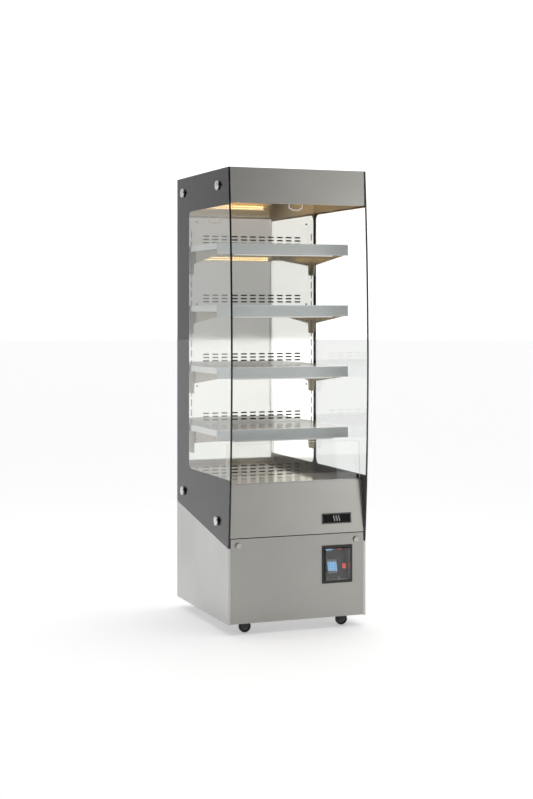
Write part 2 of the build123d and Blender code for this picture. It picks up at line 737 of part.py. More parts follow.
fork_in = wheel_width / 2 + 2
for label, x, y, side in corners:
    wheel_x = x - side * caster_trail
    with BuildPart() as fork:
        rod((x, y, raceway_low - 0.5), caster_stem, 6, "Z")
        rod((x, y, raceway_low - 4.5), 16, 4, "Z")
        for turn in (-1, 1):
            leg = sorted((y + turn * fork_in, y + turn * (fork_in + fork_sheet)))
            with BuildSketch(Plane.XZ.offset(-leg[1])):
                with BuildLine():
                    Polyline((x + side * 13, raceway_low - 0.5), (wheel_x - side * 20, raceway_low - 0.5),
                             (wheel_x - side * 9, wheel_radius - 5), (wheel_x + side * 9, wheel_radius - 5),
                             close=True)
                make_face()
            extrude(amount=fork_sheet)
        crown = sorted((x + side * 13, wheel_x - side * 20))
        block(crown, (y - fork_in - fork_sheet, y + fork_in + fork_sheet),
              (raceway_low - 4.5, raceway_low - 0.5))
        rod((wheel_x, y - fork_in - fork_sheet - 2, wheel_radius), axle_radius,
            2 * (fork_in + fork_sheet + 2), "Y")
    save(fork, f"caster_{label}_fork")

    with BuildPart() as wheel:
        rod((wheel_x, y - wheel_width / 2, wheel_radius), wheel_radius, wheel_width, "Y")
        fillet(edges().filter_by(GeomType.CIRCLE), 4)
        for turn in (-1, 1):
            start = y - wheel_width / 2 if turn < 0 else y + wheel_width / 2 - 3
            rod((wheel_x, start, wheel_radius), wheel_radius - 7, 3, "Y", Mode.SUBTRACT)
            rod((wheel_x, start, wheel_radius), 7, 3, "Y")
        rod((wheel_x, y - wheel_width, wheel_radius), axle_radius + running, 2 * wheel_width, "Y",
            Mode.SUBTRACT)
    save(wheel, f"caster_{label}_wheel")

# ---- service panel: a shallow pan with the control window and two screw holes
panel_half = half - pan_depth - gap
panel_low = skirt + 2
panel_high = seam - gap
cut_half = box_half + gap
cut_rise = box_rise + gap
with BuildPart() as service_panel:
    block((-panel_half, panel_half), (front, front + sheet), (panel_low, panel_high))
    for side in (-1, 1):
        x = sorted((side * panel_half, side * (panel_half - sheet)))
        block(x, (front, front + 8), (panel_low, panel_high))
    block((-panel_half, panel_half), (front, front + 5), (panel_low, panel_low + sheet))
    block((-panel_half, panel_half), (front, front + 8), (panel_high - sheet, panel_high))
    block((window_across - cut_half, window_across + cut_half), (front - 1, front + 2 * sheet),
          (window_level - cut_rise, window_level + cut_rise), Mode.SUBTRACT)
    for side in (-1, 1):
        rod((side * screw_across, front - 1, screw_level), screw_shank + running, 4, "Y", Mode.SUBTRACT)
        x = sorted((side * panel_half, side * (panel_half - sheet)))
        block(x, (front, front + door_ear[0]), (panel_low, panel_low + door_ear[1]))
        rod((x[0] - 1, front + door_pin_back, door_pin_level), door_pin_radius + running, sheet + 2, "X",
            Mode.SUBTRACT)
save(service_panel, "service_panel")

# ---- thumb screws: knurled head, shank through the panel into the fascia's flange
head_radius = 12.2
head_thick = 7.0
for name, side in sides:
    with BuildPart() as thumb_screw:
        rod((side * screw_across, front - head_thick, screw_level), head_radius, head_thick - 0.1, "Y")
        fillet(edges().filter_by(GeomType.CIRCLE).group_by(Axis.Y)[0], 1.5)
        rod((side * screw_across, front - 1, screw_level), screw_shank, nut_flange_y + 8 - front, "Y")
    save(thumb_screw, f"thumb_screw_{name}")

# ---- control window: a black box with a flange, and a console plate that leans back
box_back = front + box_depth
bezel_face = front - bezel_proud
console = Plane(origin=(window_across, front + console_depth, window_level), x_dir=(1, 0, 0),
                z_dir=(0, -cos(radians(console_tilt)), sin(radians(console_tilt))))
controller_local = (controller_across, -controller_drop)
rocker_local = (rocker_across, -controller_drop)
body_half = (controller_size[0] / 2 - 3, controller_size[1] / 2 - 3)
pivot_radius = 1.5
pivot_y = bezel_face - nose_radius
pivot_level = window_level + opening_rise - nose_radius - cover_clearance
with BuildPart() as control_bezel:
    with BuildSketch(Plane.XZ.offset(-front)):
        with Locations((window_across, window_level)):
            RectangleRounded(window_width, window_height, 3)
    extrude(amount=bezel_proud)
    block((window_across - box_half, window_across + box_half), (front, box_back),
          (window_level - box_rise, window_level + box_rise))
    block((window_across - opening_half, window_across + opening_half),
          (front - bezel_proud - 1, box_back + 1),
          (window_level - opening_rise, window_level + opening_rise), Mode.SUBTRACT)
    with BuildSketch(console):
        Rectangle(2 * opening_half + 1, 2 * opening_rise / cos(radians(console_tilt)) + 1)
        with Locations(controller_local):
            Rectangle(2 * body_half[0] + gap, 2 * body_half[1] + gap, mode=Mode.SUBTRACT)
        with Locations(rocker_local):
            Rectangle(rocker_size[0] + gap, rocker_size[1] + gap, mode=Mode.SUBTRACT)
    extrude(amount=-bezel_wall)
    block((window_across - box_half - 1, window_across + box_half + 1), (box_back, box_back + 40),
          (window_level - box_rise - 5, window_level + box_rise + 5), Mode.SUBTRACT)
    for side in (-1, 1):
        x = sorted((window_across + side * opening_half, window_across + side * (opening_half + ear_width)))
        block(x, (pivot_y - nose_radius, bezel_face + bezel_proud / 2),
              (pivot_level - nose_radius, pivot_level + nose_radius))
        rod((x[0] - 1, pivot_y, pivot_level), pivot_radius + running, ear_width + 2, "X", Mode.SUBTRACT)
save(control_bezel, "control_bezel")

# ---- controller: front plate with a screen window and key rows, body through the console
with BuildPart() as controller:
    with BuildSketch(console):
        with Locations(controller_local):
            RectangleRounded(*controller_size, 2)
    extrude(amount=3)
    with BuildSketch(console):
        with Locations(controller_local):
            Rectangle(2 * body_half[0], 2 * body_half[1])
    extrude(amount=-26)
    with BuildSketch(console.offset(3)):
        with Locations((controller_local[0], controller_local[1])):
            Rectangle(controller_size[0] - 6, controller_size[1] * 0.66)
    extrude(amount=-0.6, mode=Mode.SUBTRACT)
save(controller, "controller")

# ---- switch: frame with a cradle, and the rocker that tips on its own pin
rocker_half = (rocker_size[0] / 2 - 2.5, rocker_size[1] / 2 - 3)
with BuildPart() as switch_frame:
    with BuildSketch(console):
        with Locations(rocker_local):
            Rectangle(rocker_size[0] + 3, rocker_size[1] + 3)
    extrude(amount=2)
    with BuildSketch(console):
        with Locations(rocker_local):
            Rectangle(*rocker_size)
    extrude(amount=-18)
    with BuildSketch(console.offset(2)):
        with Locations(rocker_local):
            Rectangle(2 * rocker_half[0] + 1, 2 * rocker_half[1] + 2)
    extrude(amount=-14, mode=Mode.SUBTRACT)
    rocker_axis = console.from_local_coords(Vector(rocker_local[0], rocker_local[1], -2))
    rod((rocker_axis.X - rocker_size[0] / 2 + 1, rocker_axis.Y, rocker_axis.Z), 1.2 + running,
        rocker_size[0] - 2, "X", Mode.SUBTRACT)
save(switch_frame, "switch_frame")

rocker_side = Plane(origin=rocker_axis - Vector(rocker_half[0], 0, 0), x_dir=-console.z_dir,
                    z_dir=(1, 0, 0))
with BuildPart() as rocker:
    with BuildSketch(rocker_side):
        with Locations(Location((0, 0), rocker_angle)):
            with BuildLine():
                Polyline((3, -5), (-4, -rocker_half[1] + 0.5), (-6.5, -rocker_half[1] + 0.5), (-4.5, 0),
                         (-6.5, rocker_half[1] - 0.5), (-4, rocker_half[1] - 0.5), (3, 5), close=True)
            make_face()
    extrude(amount=2 * rocker_half[0])
    rod((rocker_axis.X - rocker_size[0] / 2 + 1.2, rocker_axis.Y, rocker_axis.Z), 1.2,
        rocker_size[0] - 2.4, "X")
save(rocker, "rocker")

# ---- clear cover over the controls, on moulded pivots at its top, with a turn latch at its foot
cover_half = opening_half - cover_clearance
cover_low = window_level - opening_rise + cover_clearance
cover_face = bezel_face - cover_depth
cover_back = bezel_face + cover_lap
shoulder = 2 * nose_radius  # the cover's face starts this far below its pivots
latch_level = cover_low + 12
latch_radius = 4.0
with BuildPart() as control_cover:
    with BuildSketch(Plane.YZ.offset(window_across - cover_half)):
        with BuildLine():
            Polyline((cover_face, pivot_level - shoulder), (cover_face, cover_low), (cover_back, cover_low),
                     (cover_back, pivot_level - shoulder), close=True)
        make_face()
    extrude(amount=2 * cover_half)
    with BuildSketch(Plane.YZ.offset(window_across - cover_half + cover_wall)):
        with BuildLine():
            Polyline((cover_face + cover_wall, pivot_level - shoulder + 1),
                     (cover_face + cover_wall, cover_low + cover_wall),
                     (cover_back + 1, cover_low + cover_wall),
                     (cover_back + 1, pivot_level - shoulder + 1), close=True)
        make_face()
    extrude(amount=2 * (cover_half - cover_wall), mode=Mode.SUBTRACT)
    with BuildSketch(Plane.YZ.offset(window_across - cover_half)):
        with BuildLine():
            Polyline((cover_face, pivot_level - shoulder), (pivot_y - nose_radius, pivot_level),
                     (pivot_y + nose_radius, pivot_level), (cover_back, pivot_level - shoulder), close=True)
        make_face()
    extrude(amount=2 * cover_half)
    rod((window_across - cover_half, pivot_y, pivot_level), nose_radius, 2 * cover_half, "X")
    for side in (-1, 1):
        start = window_across + side * cover_half - (0 if side > 0 else cover_clearance + ear_width - 1)
        rod((start, pivot_y, pivot_level), pivot_radius, cover_clearance + ear_width - 1, "X")
    rod((window_across, cover_face - 1, latch_level), latch_radius / 2 + running, cover_wall + 3, "Y",
        Mode.SUBTRACT)
save(control_cover, "control_cover")

with BuildPart() as cover_latch:
    rod((window_across, cover_face - 0.1 - 3, latch_level), latch_radius, 3, "Y")
    rod((window_across, cover_face - 2, latch_level), latch_radius / 2, cover_wall + 4, "Y")
    block((window_across - 1.5, window_across + 1.5), (cover_face - 6, cover_face - 3),
          (latch_level - 6, latch_level + 6))
save(cover_latch, "cover_latch")
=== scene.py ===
"""Looks of a heated open-front food cabinet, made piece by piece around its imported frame. Metres."""
import math

import bmesh
import bpy
from mathutils import Matrix, Vector


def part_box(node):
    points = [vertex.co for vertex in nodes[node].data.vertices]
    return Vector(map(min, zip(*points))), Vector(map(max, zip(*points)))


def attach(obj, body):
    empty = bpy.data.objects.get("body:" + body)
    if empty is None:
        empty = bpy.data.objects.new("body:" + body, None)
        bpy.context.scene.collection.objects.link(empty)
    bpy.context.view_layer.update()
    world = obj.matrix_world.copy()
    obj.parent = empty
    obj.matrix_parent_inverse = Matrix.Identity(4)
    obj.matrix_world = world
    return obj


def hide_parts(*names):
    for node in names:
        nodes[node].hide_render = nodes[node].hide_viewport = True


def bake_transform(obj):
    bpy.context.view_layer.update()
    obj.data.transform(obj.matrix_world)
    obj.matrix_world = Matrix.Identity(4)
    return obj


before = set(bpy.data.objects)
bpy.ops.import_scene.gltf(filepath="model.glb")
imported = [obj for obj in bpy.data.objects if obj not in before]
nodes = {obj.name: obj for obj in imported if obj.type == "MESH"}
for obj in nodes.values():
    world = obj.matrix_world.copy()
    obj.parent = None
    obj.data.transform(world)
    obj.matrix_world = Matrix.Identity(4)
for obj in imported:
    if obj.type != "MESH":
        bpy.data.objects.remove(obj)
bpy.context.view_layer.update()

# ---- camera ----
# It stands well back, in front and to the left, level with the third food space. It is kept level, so that
# upright edges stay upright, and the view is framed by a downward shift instead of a tilt.
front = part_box("service_panel")[0].y
view_turn = 21.018
camera_data = bpy.data.cameras.new("camera")
camera_data.lens = 68.36
camera_data.shift_y = -0.1123
camera_data.clip_end = 200
camera = bpy.data.objects.new("camera", camera_data)
camera.location = (-2.321, front - 5.685, 1.2983)
camera.rotation_euler = (math.radians(90), 0, math.radians(-view_turn))
scene = bpy.context.scene
scene.collection.objects.link(camera)
scene.camera = camera

# ---- studio ----
# A white room that is darker in front of the cabinet and a little darker to its left and above. Soft lights
# stand to the right of the camera, above, and to the left, and a pale floor runs out to the horizon.
scene.view_settings.view_transform = "Standard"
room = bpy.data.worlds.new("studio")
scene.world = room
room.use_nodes = True
sky = room.node_tree
direction = sky.nodes.new("ShaderNodeTexCoord")
split = sky.nodes.new("ShaderNodeSeparateXYZ")
sky.links.new(direction.outputs["Generated"], split.inputs[0])


def room_ramp(axis, low, high, dark, bright):
    """Brightness that rises smoothly along one direction of the room."""
    ramp = sky.nodes.new("ShaderNodeMapRange")
    ramp.interpolation_type = "SMOOTHSTEP"
    ramp.inputs["From Min"].default_value = low
    ramp.inputs["From Max"].default_value = high
    ramp.inputs["To Min"].default_value = dark
    ramp.inputs["To Max"].default_value = bright
    sky.links.new(split.outputs[axis], ramp.inputs["Value"])
    return ramp.outputs["Result"]


def multiplied(a, b):
    node = sky.nodes.new("ShaderNodeMath")
    node.operation = "MULTIPLY"
    sky.links.new(a, node.inputs[0])
    sky.links.new(b, node.inputs[1])
    return node.outputs[0]


brightness = multiplied(room_ramp("Y", -0.8, 0.3, 0.10, 1.0), room_ramp("X", -0.45, 0.15, 0.60, 1.45))
brightness = multiplied(brightness, room_ramp("Z", -0.22, 0.2, 1.1, 0.85))
sky.nodes["Background"].inputs["Color"].default_value = (1.0, 1.0, 1.0, 1)
sky.links.new(brightness, sky.nodes["Background"].inputs["Strength"])


def soft_light(name, place, target, size, power, tint=(1, 1, 1)):
    """A rectangular soft light at place, facing target, that doesn't show itself in the view."""
    data = bpy.data.lights.new(name, "AREA")
    data.shape = "RECTANGLE"
    data.size, data.size_y = size
    data.energy = power
    data.color = tint
    lamp = bpy.data.objects.new(name, data)
    lamp.location = place
    lamp.rotation_euler = (Vector(target) - Vector(place)).to_track_quat("-Z", "Y").to_euler()
    lamp.visible_camera = False
    scene.collection.objects.link(lamp)
    return lamp


soft_light("wide_card", (1.75, -3.0, 1.25), (0.55, 0, 1.1), (1.9, 2.9), 5.8)
soft_light("bright_card", (1.62, -2.3, 1.45), (0.3, 0, 1.2), (1.05, 2.2), 6.6)
soft_light("top_light", (-0.2, -0.6, 3.4), (0, 0, 0.8), (2.6, 2.2), 16)
soft_light("left_light", (-3.4, 1.4, 1.4), (0, 0, 0.9), (1.2, 2.4), 12)


def shader(name, color=(0.8, 0.8, 0.8), metallic=0.0, roughness=0.5, **sockets):
    """A material with its shader set; the other sockets' names are written with underscores."""
    material = bpy.data.materials.new(name)
    material.use_nodes = True
    bsdf = material.node_tree.nodes["Principled BSDF"]
    bsdf.inputs["Base Color"].default_value = (*color, 1)
    bsdf.inputs["Metallic"].default_value = metallic
    bsdf.inputs["Roughness"].default_value = roughness
    for key, value in sockets.items():
        bsdf.inputs[key.replace("_", " ")].default_value = value
    return material


def pattern(material, scale, stretch=(1, 1, 1), detail=4.0, roughness=0.55):
    """A noise over the object's own coordinates, stretched along its axes."""
    tree = material.node_tree
    place = tree.nodes.new("ShaderNodeTexCoord")
    mapping = tree.nodes.new("ShaderNodeMapping")
    mapping.inputs["Scale"].default_value = stretch
    noise = tree.nodes.new("ShaderNodeTexNoise")
    noise.inputs["Scale"].default_value = scale
    noise.inputs["Detail"].default_value = detail
    noise.inputs["Roughness"].default_value = roughness
    tree.links.new(place.outputs["Object"], mapping.inputs["Vector"])
    tree.links.new(mapping.outputs["Vector"], noise.inputs["Vector"])
    return noise.outputs["Fac"]


def spread(material, source, low, high, socket="Roughness"):
    """Lets a pattern move one of the shader's numbers between low and high."""
    tree = material.node_tree
    ramp = tree.nodes.new("ShaderNodeMapRange")
    ramp.inputs["From Min"].default_value = 0.3
    ramp.inputs["From Max"].default_value = 0.7
    ramp.inputs["To Min"].default_value = low
    ramp.inputs["To Max"].default_value = high
    tree.links.new(source, ramp.inputs["Value"])
    tree.links.new(ramp.outputs["Result"], tree.nodes["Principled BSDF"].inputs[socket])


def tint(material, source, dark, light, socket="Base Color"):
    """Lets a pattern move a colour between two colours."""
    tree = material.node_tree
    ramp = tree.nodes.new("ShaderNodeValToRGB")
    ramp.color_ramp.elements[0].position = 0.3
    ramp.color_ramp.elements[1].position = 0.7
    ramp.color_ramp.elements[0].color = (*dark, 1)
    ramp.color_ramp.elements[1].color = (*light, 1)
    tree.links.new(source, ramp.inputs["Fac"])
    tree.links.new(ramp.outputs["Color"], tree.nodes["Principled BSDF"].inputs[socket])


def relief(material, source, strength, distance):
    """Lets a pattern raise the surface a little."""
    tree = material.node_tree
    bump = tree.nodes.new("ShaderNodeBump")
    bump.inputs["Strength"].default_value = strength
    bump.inputs["Distance"].default_value = distance
    tree.links.new(source, bump.inputs["Height"])
    tree.links.new(bump.outputs["Normal"], tree.nodes["Principled BSDF"].inputs["Normal"])


def mesh_of(name, bm):
    """A plain mesh from a mesh under construction, with its faces pointing outwards."""
    bmesh.ops.recalc_face_normals(bm, faces=bm.faces)
    mesh = bpy.data.meshes.new(name)
    bm.to_mesh(mesh)
    bm.free()
    return mesh


floor_paint = shader("floor_paint", (0.88, 0.88, 0.88), roughness=0.7, Specular_IOR_Level=0.15,
                     Emission_Color=(1, 1, 1, 1), Emission_Strength=0.36)
relief(floor_paint, pattern(floor_paint, 30), 0.02, 0.001)
bm = bmesh.new()
bmesh.ops.create_circle(bm, cap_ends=True, segments=96, radius=60)
floor = bpy.data.objects.new("floor", mesh_of("floor", bm))
floor.data.materials.append(floor_paint)
scene.collection.objects.link(floor)

# ---- base panels ----
# Folded stainless sheet with a fine horizontal brushed grain: the two side pans, the leaning fascia, the
# service panel and the canopy. The hidden sheets behind and below are plain mill finish.
def dress(material, *names):
    """Gives CAD nodes, whose shape is right as it is, their finish."""
    for name in names:
        nodes[name].material_slots[0].material = material


def brushed(name, colour, roughness, dark, light):
    """Stainless steel with a fine horizontal grain, whose tone drifts slowly between dark and light."""
    material = shader(name, colour, 1.0, roughness)
    grain = pattern(material, 60, (0.5, 0.5, 22), 6)
    spread(material, grain, roughness - 0.05, roughness + 0.07)
    tint(material, pattern(material, 2.5, (1, 1, 1.4), 2), dark, light)
    relief(material, grain, 0.08, 0.0002)
    return material


steel = brushed("brushed_steel", (0.58, 0.565, 0.53), 0.34, (0.43, 0.42, 0.39), (0.48, 0.468, 0.436))
dress(steel, "fascia_panel", "canopy_shell")
# The service panel's copy of the same stainless is set darker than the fascia's: painted shade.
panel_steel_painted_shade = brushed("panel_brushed_steel_painted_shade", (0.36, 0.35, 0.33), 0.36,
                      (0.355, 0.345, 0.325), (0.395, 0.385, 0.362))
dress(panel_steel_painted_shade, "service_panel")
# The side pans' copy of the same stainless is set lighter than the fascia's: painted light.
side_steel_painted_light = brushed("side_brushed_steel_painted_light", (0.60, 0.60, 0.59), 0.38, (0.50, 0.50, 0.49), (0.56, 0.56, 0.55))
dress(side_steel_painted_light, "base_side_left", "base_side_right")

mill_steel = shader("mill_steel", (0.5, 0.5, 0.5), 1.0, 0.42)
spread(mill_steel, pattern(mill_steel, 12), 0.36, 0.52)
tint(mill_steel, pattern(mill_steel, 3), (0.44, 0.44, 0.45), (0.54, 0.54, 0.53))
dress(mill_steel, "base_floor", "base_back_panel", "rear_cover", "fan_housing")


def finished(name, mesh, material, body, stands_for=()):
    """Links a piece, paints it, and lets it ride on its body, if it has just one."""
    piece = bpy.data.objects.new(name, mesh)
    scene.collection.objects.link(piece)
    if material is not None:
        mesh.materials.clear()
        mesh.materials.append(material)
    if body is not None:
        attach(piece, body)
    if stands_for:
        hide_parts(*stands_for)
    return piece


def repeat_tree(label, unit):
    """A node tree that sets one small unit on every point of a grid, then turns and places the whole."""
    tree = bpy.data.node_groups.new(label, "GeometryNodeTree")
    tree.interface.new_socket("Geometry", in_out="OUTPUT", socket_type="NodeSocketGeometry")
    for socket, kind in (("Columns", "Int"), ("Rows", "Int"), ("Run", "Float"), ("Rise", "Float"),
                         ("Unit Size", "Vector"), ("Turn", "Vector"), ("Place", "Vector"),
                         ("Finish", "Material")):
        tree.interface.new_socket(socket, in_out="INPUT", socket_type="NodeSocket" + kind)
    given = tree.nodes.new("NodeGroupInput")
    grid = tree.nodes.new("GeometryNodeMeshGrid")
    tree.links.new(given.outputs["Run"], grid.inputs["Size X"])
    tree.links.new(given.outputs["Rise"], grid.inputs["Size Y"])
    tree.links.new(given.outputs["Columns"], grid.inputs["Vertices X"])
    tree.links.new(given.outputs["Rows"], grid.inputs["Vertices Y"])
    if unit == "dome":
        shape = tree.nodes.new("GeometryNodeMeshUVSphere")
        shape.inputs["Segments"].default_value = 10
        shape.inputs["Rings"].default_value = 6
        shape.inputs["Radius"].default_value = 0.5
    else:
        shape = tree.nodes.new("GeometryNodeMeshCube")
        shape.inputs["Size"].default_value = (1, 1, 1)
    put = tree.nodes.new("GeometryNodeInstanceOnPoints")
    tree.links.new(grid.outputs["Mesh"], put.inputs["Points"])
    tree.links.new(shape.outputs["Mesh"], put.inputs["Instance"])
    tree.links.new(given.outputs["Unit Size"], put.inputs["Scale"])
    move = tree.nodes.new("GeometryNodeTransform")
    tree.links.new(put.outputs["Instances"], move.inputs["Geometry"])
    tree.links.new(given.outputs["Turn"], move.inputs["Rotation"])
    tree.links.new(given.outputs["Place"], move.inputs["Translation"])
    solid = tree.nodes.new("GeometryNodeRealizeInstances")
    tree.links.new(move.outputs["Geometry"], solid.inputs["Geometry"])
    paint = tree.nodes.new("GeometryNodeSetMaterial")
    tree.links.new(solid.outputs["Geometry"], paint.inputs["Geometry"])
    tree.links.new(given.outputs["Finish"], paint.inputs["Material"])
    result = tree.nodes.new("NodeGroupOutput")
    tree.links.new(paint.outputs["Geometry"], result.inputs["Geometry"])
    return tree


def mesh_from_tree(name, tree, values):
    """Runs a node tree with the values given for its named inputs, and keeps the plain mesh."""
    host = bpy.data.objects.new(name, bpy.data.meshes.new(name))
    scene.collection.objects.link(host)
    maker = host.modifiers.new("repeat", "NODES")
    maker.node_group = tree
    for socket in tree.interface.items_tree:
        if socket.in_out == "INPUT":
            maker[socket.identifier] = values[socket.name]
    bpy.context.view_layer.update()
    mesh = bpy.data.meshes.new_from_object(host.evaluated_get(bpy.context.evaluated_depsgraph_get()))
    host.modifiers.remove(maker)
    bpy.data.objects.remove(host)
    return mesh


domes = repeat_tree("dome_grid", "dome")
blocks = repeat_tree("block_grid", "block")
upright = (math.radians(90), 0, 0)

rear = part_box("base_back_panel")[1].y
screw_steel = shader("screw_steel", (0.5, 0.5, 0.5), 1.0, 0.3)
spread(screw_steel, pattern(screw_steel, 200), 0.24, 0.4)
for name, (low, high), rows in (("rear_cover_screws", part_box("rear_cover"), 5),
                                ("base_back_screws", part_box("base_back_panel"), 3)):
    mesh = mesh_from_tree(name, domes, {
        "Columns": 2, "Rows": rows, "Run": high.x - low.x - 0.024, "Rise": high.z - low.z - 0.06,
        "Unit Size": (0.008, 0.008, 0.0046), "Turn": upright,
        "Place": (0, rear, (low.z + high.z) / 2), "Finish": screw_steel})
    finished(name, mesh, None, "cabinet")

# ---- casters ----
# Black moulded swivel casters on zinc plates. Each wheel has a soft tyre with rounded shoulders on a hub
# with a raised boss, and turns on the fork's axle.
def turned(bm, profile, centre, axis, steps=40):
    """A ring or disc: the closed profile (radius, along) turned about an axis through centre."""
    across = {"X": (Vector((0, 1, 0)), Vector((0, 0, 1)), Vector((1, 0, 0))),
              "Y": (Vector((0, 0, 1)), Vector((1, 0, 0)), Vector((0, 1, 0))),
              "Z": (Vector((1, 0, 0)), Vector((0, 1, 0)), Vector((0, 0, 1)))}[axis]
    rings = []
    for i in range(steps):
        angle = 2 * math.pi * i / steps
        out = across[0] * math.cos(angle) + across[1] * math.sin(angle)
        rings.append([bm.verts.new(Vector(centre) + out * r + across[2] * along) for r, along in profile])
    for ring, after in zip(rings, rings[1:] + rings[:1]):
        for k in range(len(profile)):
            n = (k + 1) % len(profile)
            corners = [ring[k], after[k], after[n], ring[n]]
            bm.faces.new(corners)
    bmesh.ops.remove_doubles(bm, verts=bm.verts, dist=1e-6)
    bmesh.ops.dissolve_degenerate(bm, dist=1e-7, edges=bm.edges)


def smoothed(mesh, angle=35):
    """Shades a mesh smooth, except over edges sharper than the angle."""
    mesh.shade_smooth()
    mesh.set_sharp_from_angle(angle=math.radians(angle))
    return mesh


zinc = shader("zinc_plate", (0.56, 0.57, 0.58), 1.0, 0.35)
spread(zinc, pattern(zinc, 70), 0.28, 0.45)
tint(zinc, pattern(zinc, 25), (0.48, 0.49, 0.52), (0.6, 0.6, 0.6))
dress(zinc, "caster_plates", "blind_brackets", "fan_rotor")
fork_black = shader("black_fork", (0.016, 0.016, 0.017), 0.0, 0.36)
spread(fork_black, pattern(fork_black, 120), 0.28, 0.45)
tyre_rubber = shader("tyre_rubber", (0.012, 0.012, 0.012), 0.0, 0.5)
spread(tyre_rubber, pattern(tyre_rubber, 90), 0.4, 0.62)
relief(tyre_rubber, pattern(tyre_rubber, 400), 0.15, 0.0002)
hub_grey = shader("hub_plastic", (0.05, 0.05, 0.053), 0.0, 0.35)
spread(hub_grey, pattern(hub_grey, 80), 0.3, 0.42)
for end in ("front", "rear"):
    for side_name in ("left", "right"):
        corner = f"{end}_{side_name}"
        dress(fork_black, f"caster_{corner}_fork")
        low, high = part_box(f"caster_{corner}_wheel")
        centre, radius, half_width = (low + high) / 2, (high.z - low.z) / 2, (high.y - low.y) / 2
        w, inner_r = half_width - 0.0002, radius - 0.007
        bore, boss = 0.0031, 0.0066
        bm = bmesh.new()
        turned(bm, [(inner_r, -w + 0.002), (inner_r + 0.001, -w), (radius - 0.0032, -w),
                    (radius - 0.001, -w + 0.0016), (radius, -w + 0.0045), (radius, w - 0.0045),
                    (radius - 0.001, w - 0.0016), (radius - 0.0032, w), (inner_r + 0.001, w),
                    (inner_r, w - 0.002)], centre, "Y", 56)
        finished(f"caster_{corner}_tyre", smoothed(mesh_of("tyre", bm)), tyre_rubber, f"wheel_{corner}",
                 [f"caster_{corner}_wheel"])
        bm = bmesh.new()
        turned(bm, [(bore, -w), (boss, -w), (boss + 0.0008, -w + 0.003), (inner_r - 0.0022, -w + 0.0036),
                    (inner_r - 0.0004, -w + 0.0018), (inner_r - 0.0001, w - 0.0018),
                    (inner_r - 0.0022, w - 0.0036), (boss + 0.0008, w - 0.003), (boss, w), (bore, w)],
               centre, "Y", 56)
        finished(f"caster_{corner}_hub", smoothed(mesh_of("hub", bm)), hub_grey, f"wheel_{corner}",
                 [f"caster_{corner}_wheel"])

# ---- mains inlet and light supply ----
# A moulded black inlet screwed to the lower rear panel, and a finned aluminium supply for the light bars on
# the base floor.
black_plastic = shader("black_plastic", (0.010, 0.010, 0.011), 0.0, 0.32)
spread(black_plastic, pattern(black_plastic, 120), 0.28, 0.42)
relief(black_plastic, pattern(black_plastic, 700), 0.12, 0.0001)
dress(black_plastic, "power_inlet")
low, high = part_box("power_inlet")
inlet_middle = (low + high) / 2
mesh = mesh_from_tree("inlet_screws", domes, {
    "Columns": 2, "Rows": 1, "Run": high.x - low.x - 0.012, "Rise": 0.0, "Unit Size": (0.006, 0.006, 0.003),
    "Turn": upright, "Place": (inlet_middle.x, high.y, inlet_middle.z), "Finish": screw_steel})
finished("inlet_screws", mesh, None, "cabinet")
supply_aluminium = shader("supply_aluminium", (0.6, 0.62, 0.64), 0.9, 0.4)
spread(supply_aluminium, pattern(supply_aluminium, 60, (6, 0.5, 1)), 0.33, 0.5)
dress(supply_aluminium, "power_supply")
low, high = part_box("power_supply")
mesh = mesh_from_tree("supply_fins", blocks, {
    "Columns": 18, "Rows": 1, "Run": high.x - low.x - 0.02, "Rise": 0.0,
    "Unit Size": (0.002, high.y - low.y - 0.004, 0.006), "Turn": (0, 0, 0),
    "Place": ((low.x + high.x) / 2, (low.y + high.y) / 2, high.z + 0.0028), "Finish": supply_aluminium})
finished("supply_fins", mesh, None, "cabinet")

# ---- nameplate ----
# A thin glossy black plate riveted to the fascia. It carries only a plain frame line and three rising waves
# for warmth, printed in silver.
def frame_of(origin, lean):
    """A leaning face's own axes, as a matrix: across, up the face, and out of it."""
    up = Vector((0, math.sin(lean), math.cos(lean)))
    out = Vector((0, -math.cos(lean), math.sin(lean)))
    turn = Matrix((Vector((1, 0, 0)), up, out)).transposed().to_4x4()
    return Matrix.Translation(Vector(origin)) @ turn


badge_black = shader("badge_black", (0.005, 0.005, 0.006), 0.0, 0.3, Specular_IOR_Level=0.12)
spread(badge_black, pattern(badge_black, 40), 0.25, 0.38)
dress(badge_black, "nameplate")
silver_print = shader("silver_print", (0.62, 0.63, 0.64), 0.7, 0.35)
spread(silver_print, pattern(silver_print, 150), 0.3, 0.42)
plate_low, plate_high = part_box("nameplate")
fascia_setback, fascia_rise = 0.018, 0.2145
fascia_lean = math.atan2(fascia_setback, fascia_rise)
plate_height = (plate_high.z - plate_low.z) / math.cos(fascia_lean)
plate_width = plate_high.x - plate_low.x
plate_foot = (plate_low.z + plate_high.z) / 2 - plate_height / 2 * math.cos(fascia_lean)
plate_frame = frame_of(((plate_low.x + plate_high.x) / 2, plate_low.y, plate_foot), fascia_lean)
print_thick, line_width, wave_width = 0.0002, 0.0006, 0.0022
wave_gap, wave_swing, wave_reach, wave_steps = 0.011, 0.0028, 0.011, 24


def ribbon(bm, points, width, thick, place):
    """A flat printed line of one width along points (across, up), laid on a face."""
    left, right = [], []
    for i, here in enumerate(points):
        before, after = points[max(i - 1, 0)], points[min(i + 1, len(points) - 1)]
        along = Vector((after[0] - before[0], after[1] - before[1], 0)).normalized()
        aside = Vector((-along.y, along.x, 0)) * width / 2
        left.append(Vector((*here, 0)) + aside)
        right.append(Vector((*here, 0)) - aside)
    rise = Vector((0, 0, thick))
    rows = [[bm.verts.new(place @ (p + lift)) for p in side_points]
            for side_points, lift in ((left, rise), (right, rise), (right, Vector()), (left, Vector()))]
    for a, b in zip(rows, rows[1:] + rows[:1]):
        for i in range(len(points) - 1):
            bm.faces.new((a[i], a[i + 1], b[i + 1], b[i]))
    for end in (0, -1):
        bm.faces.new([row[end] for row in rows])


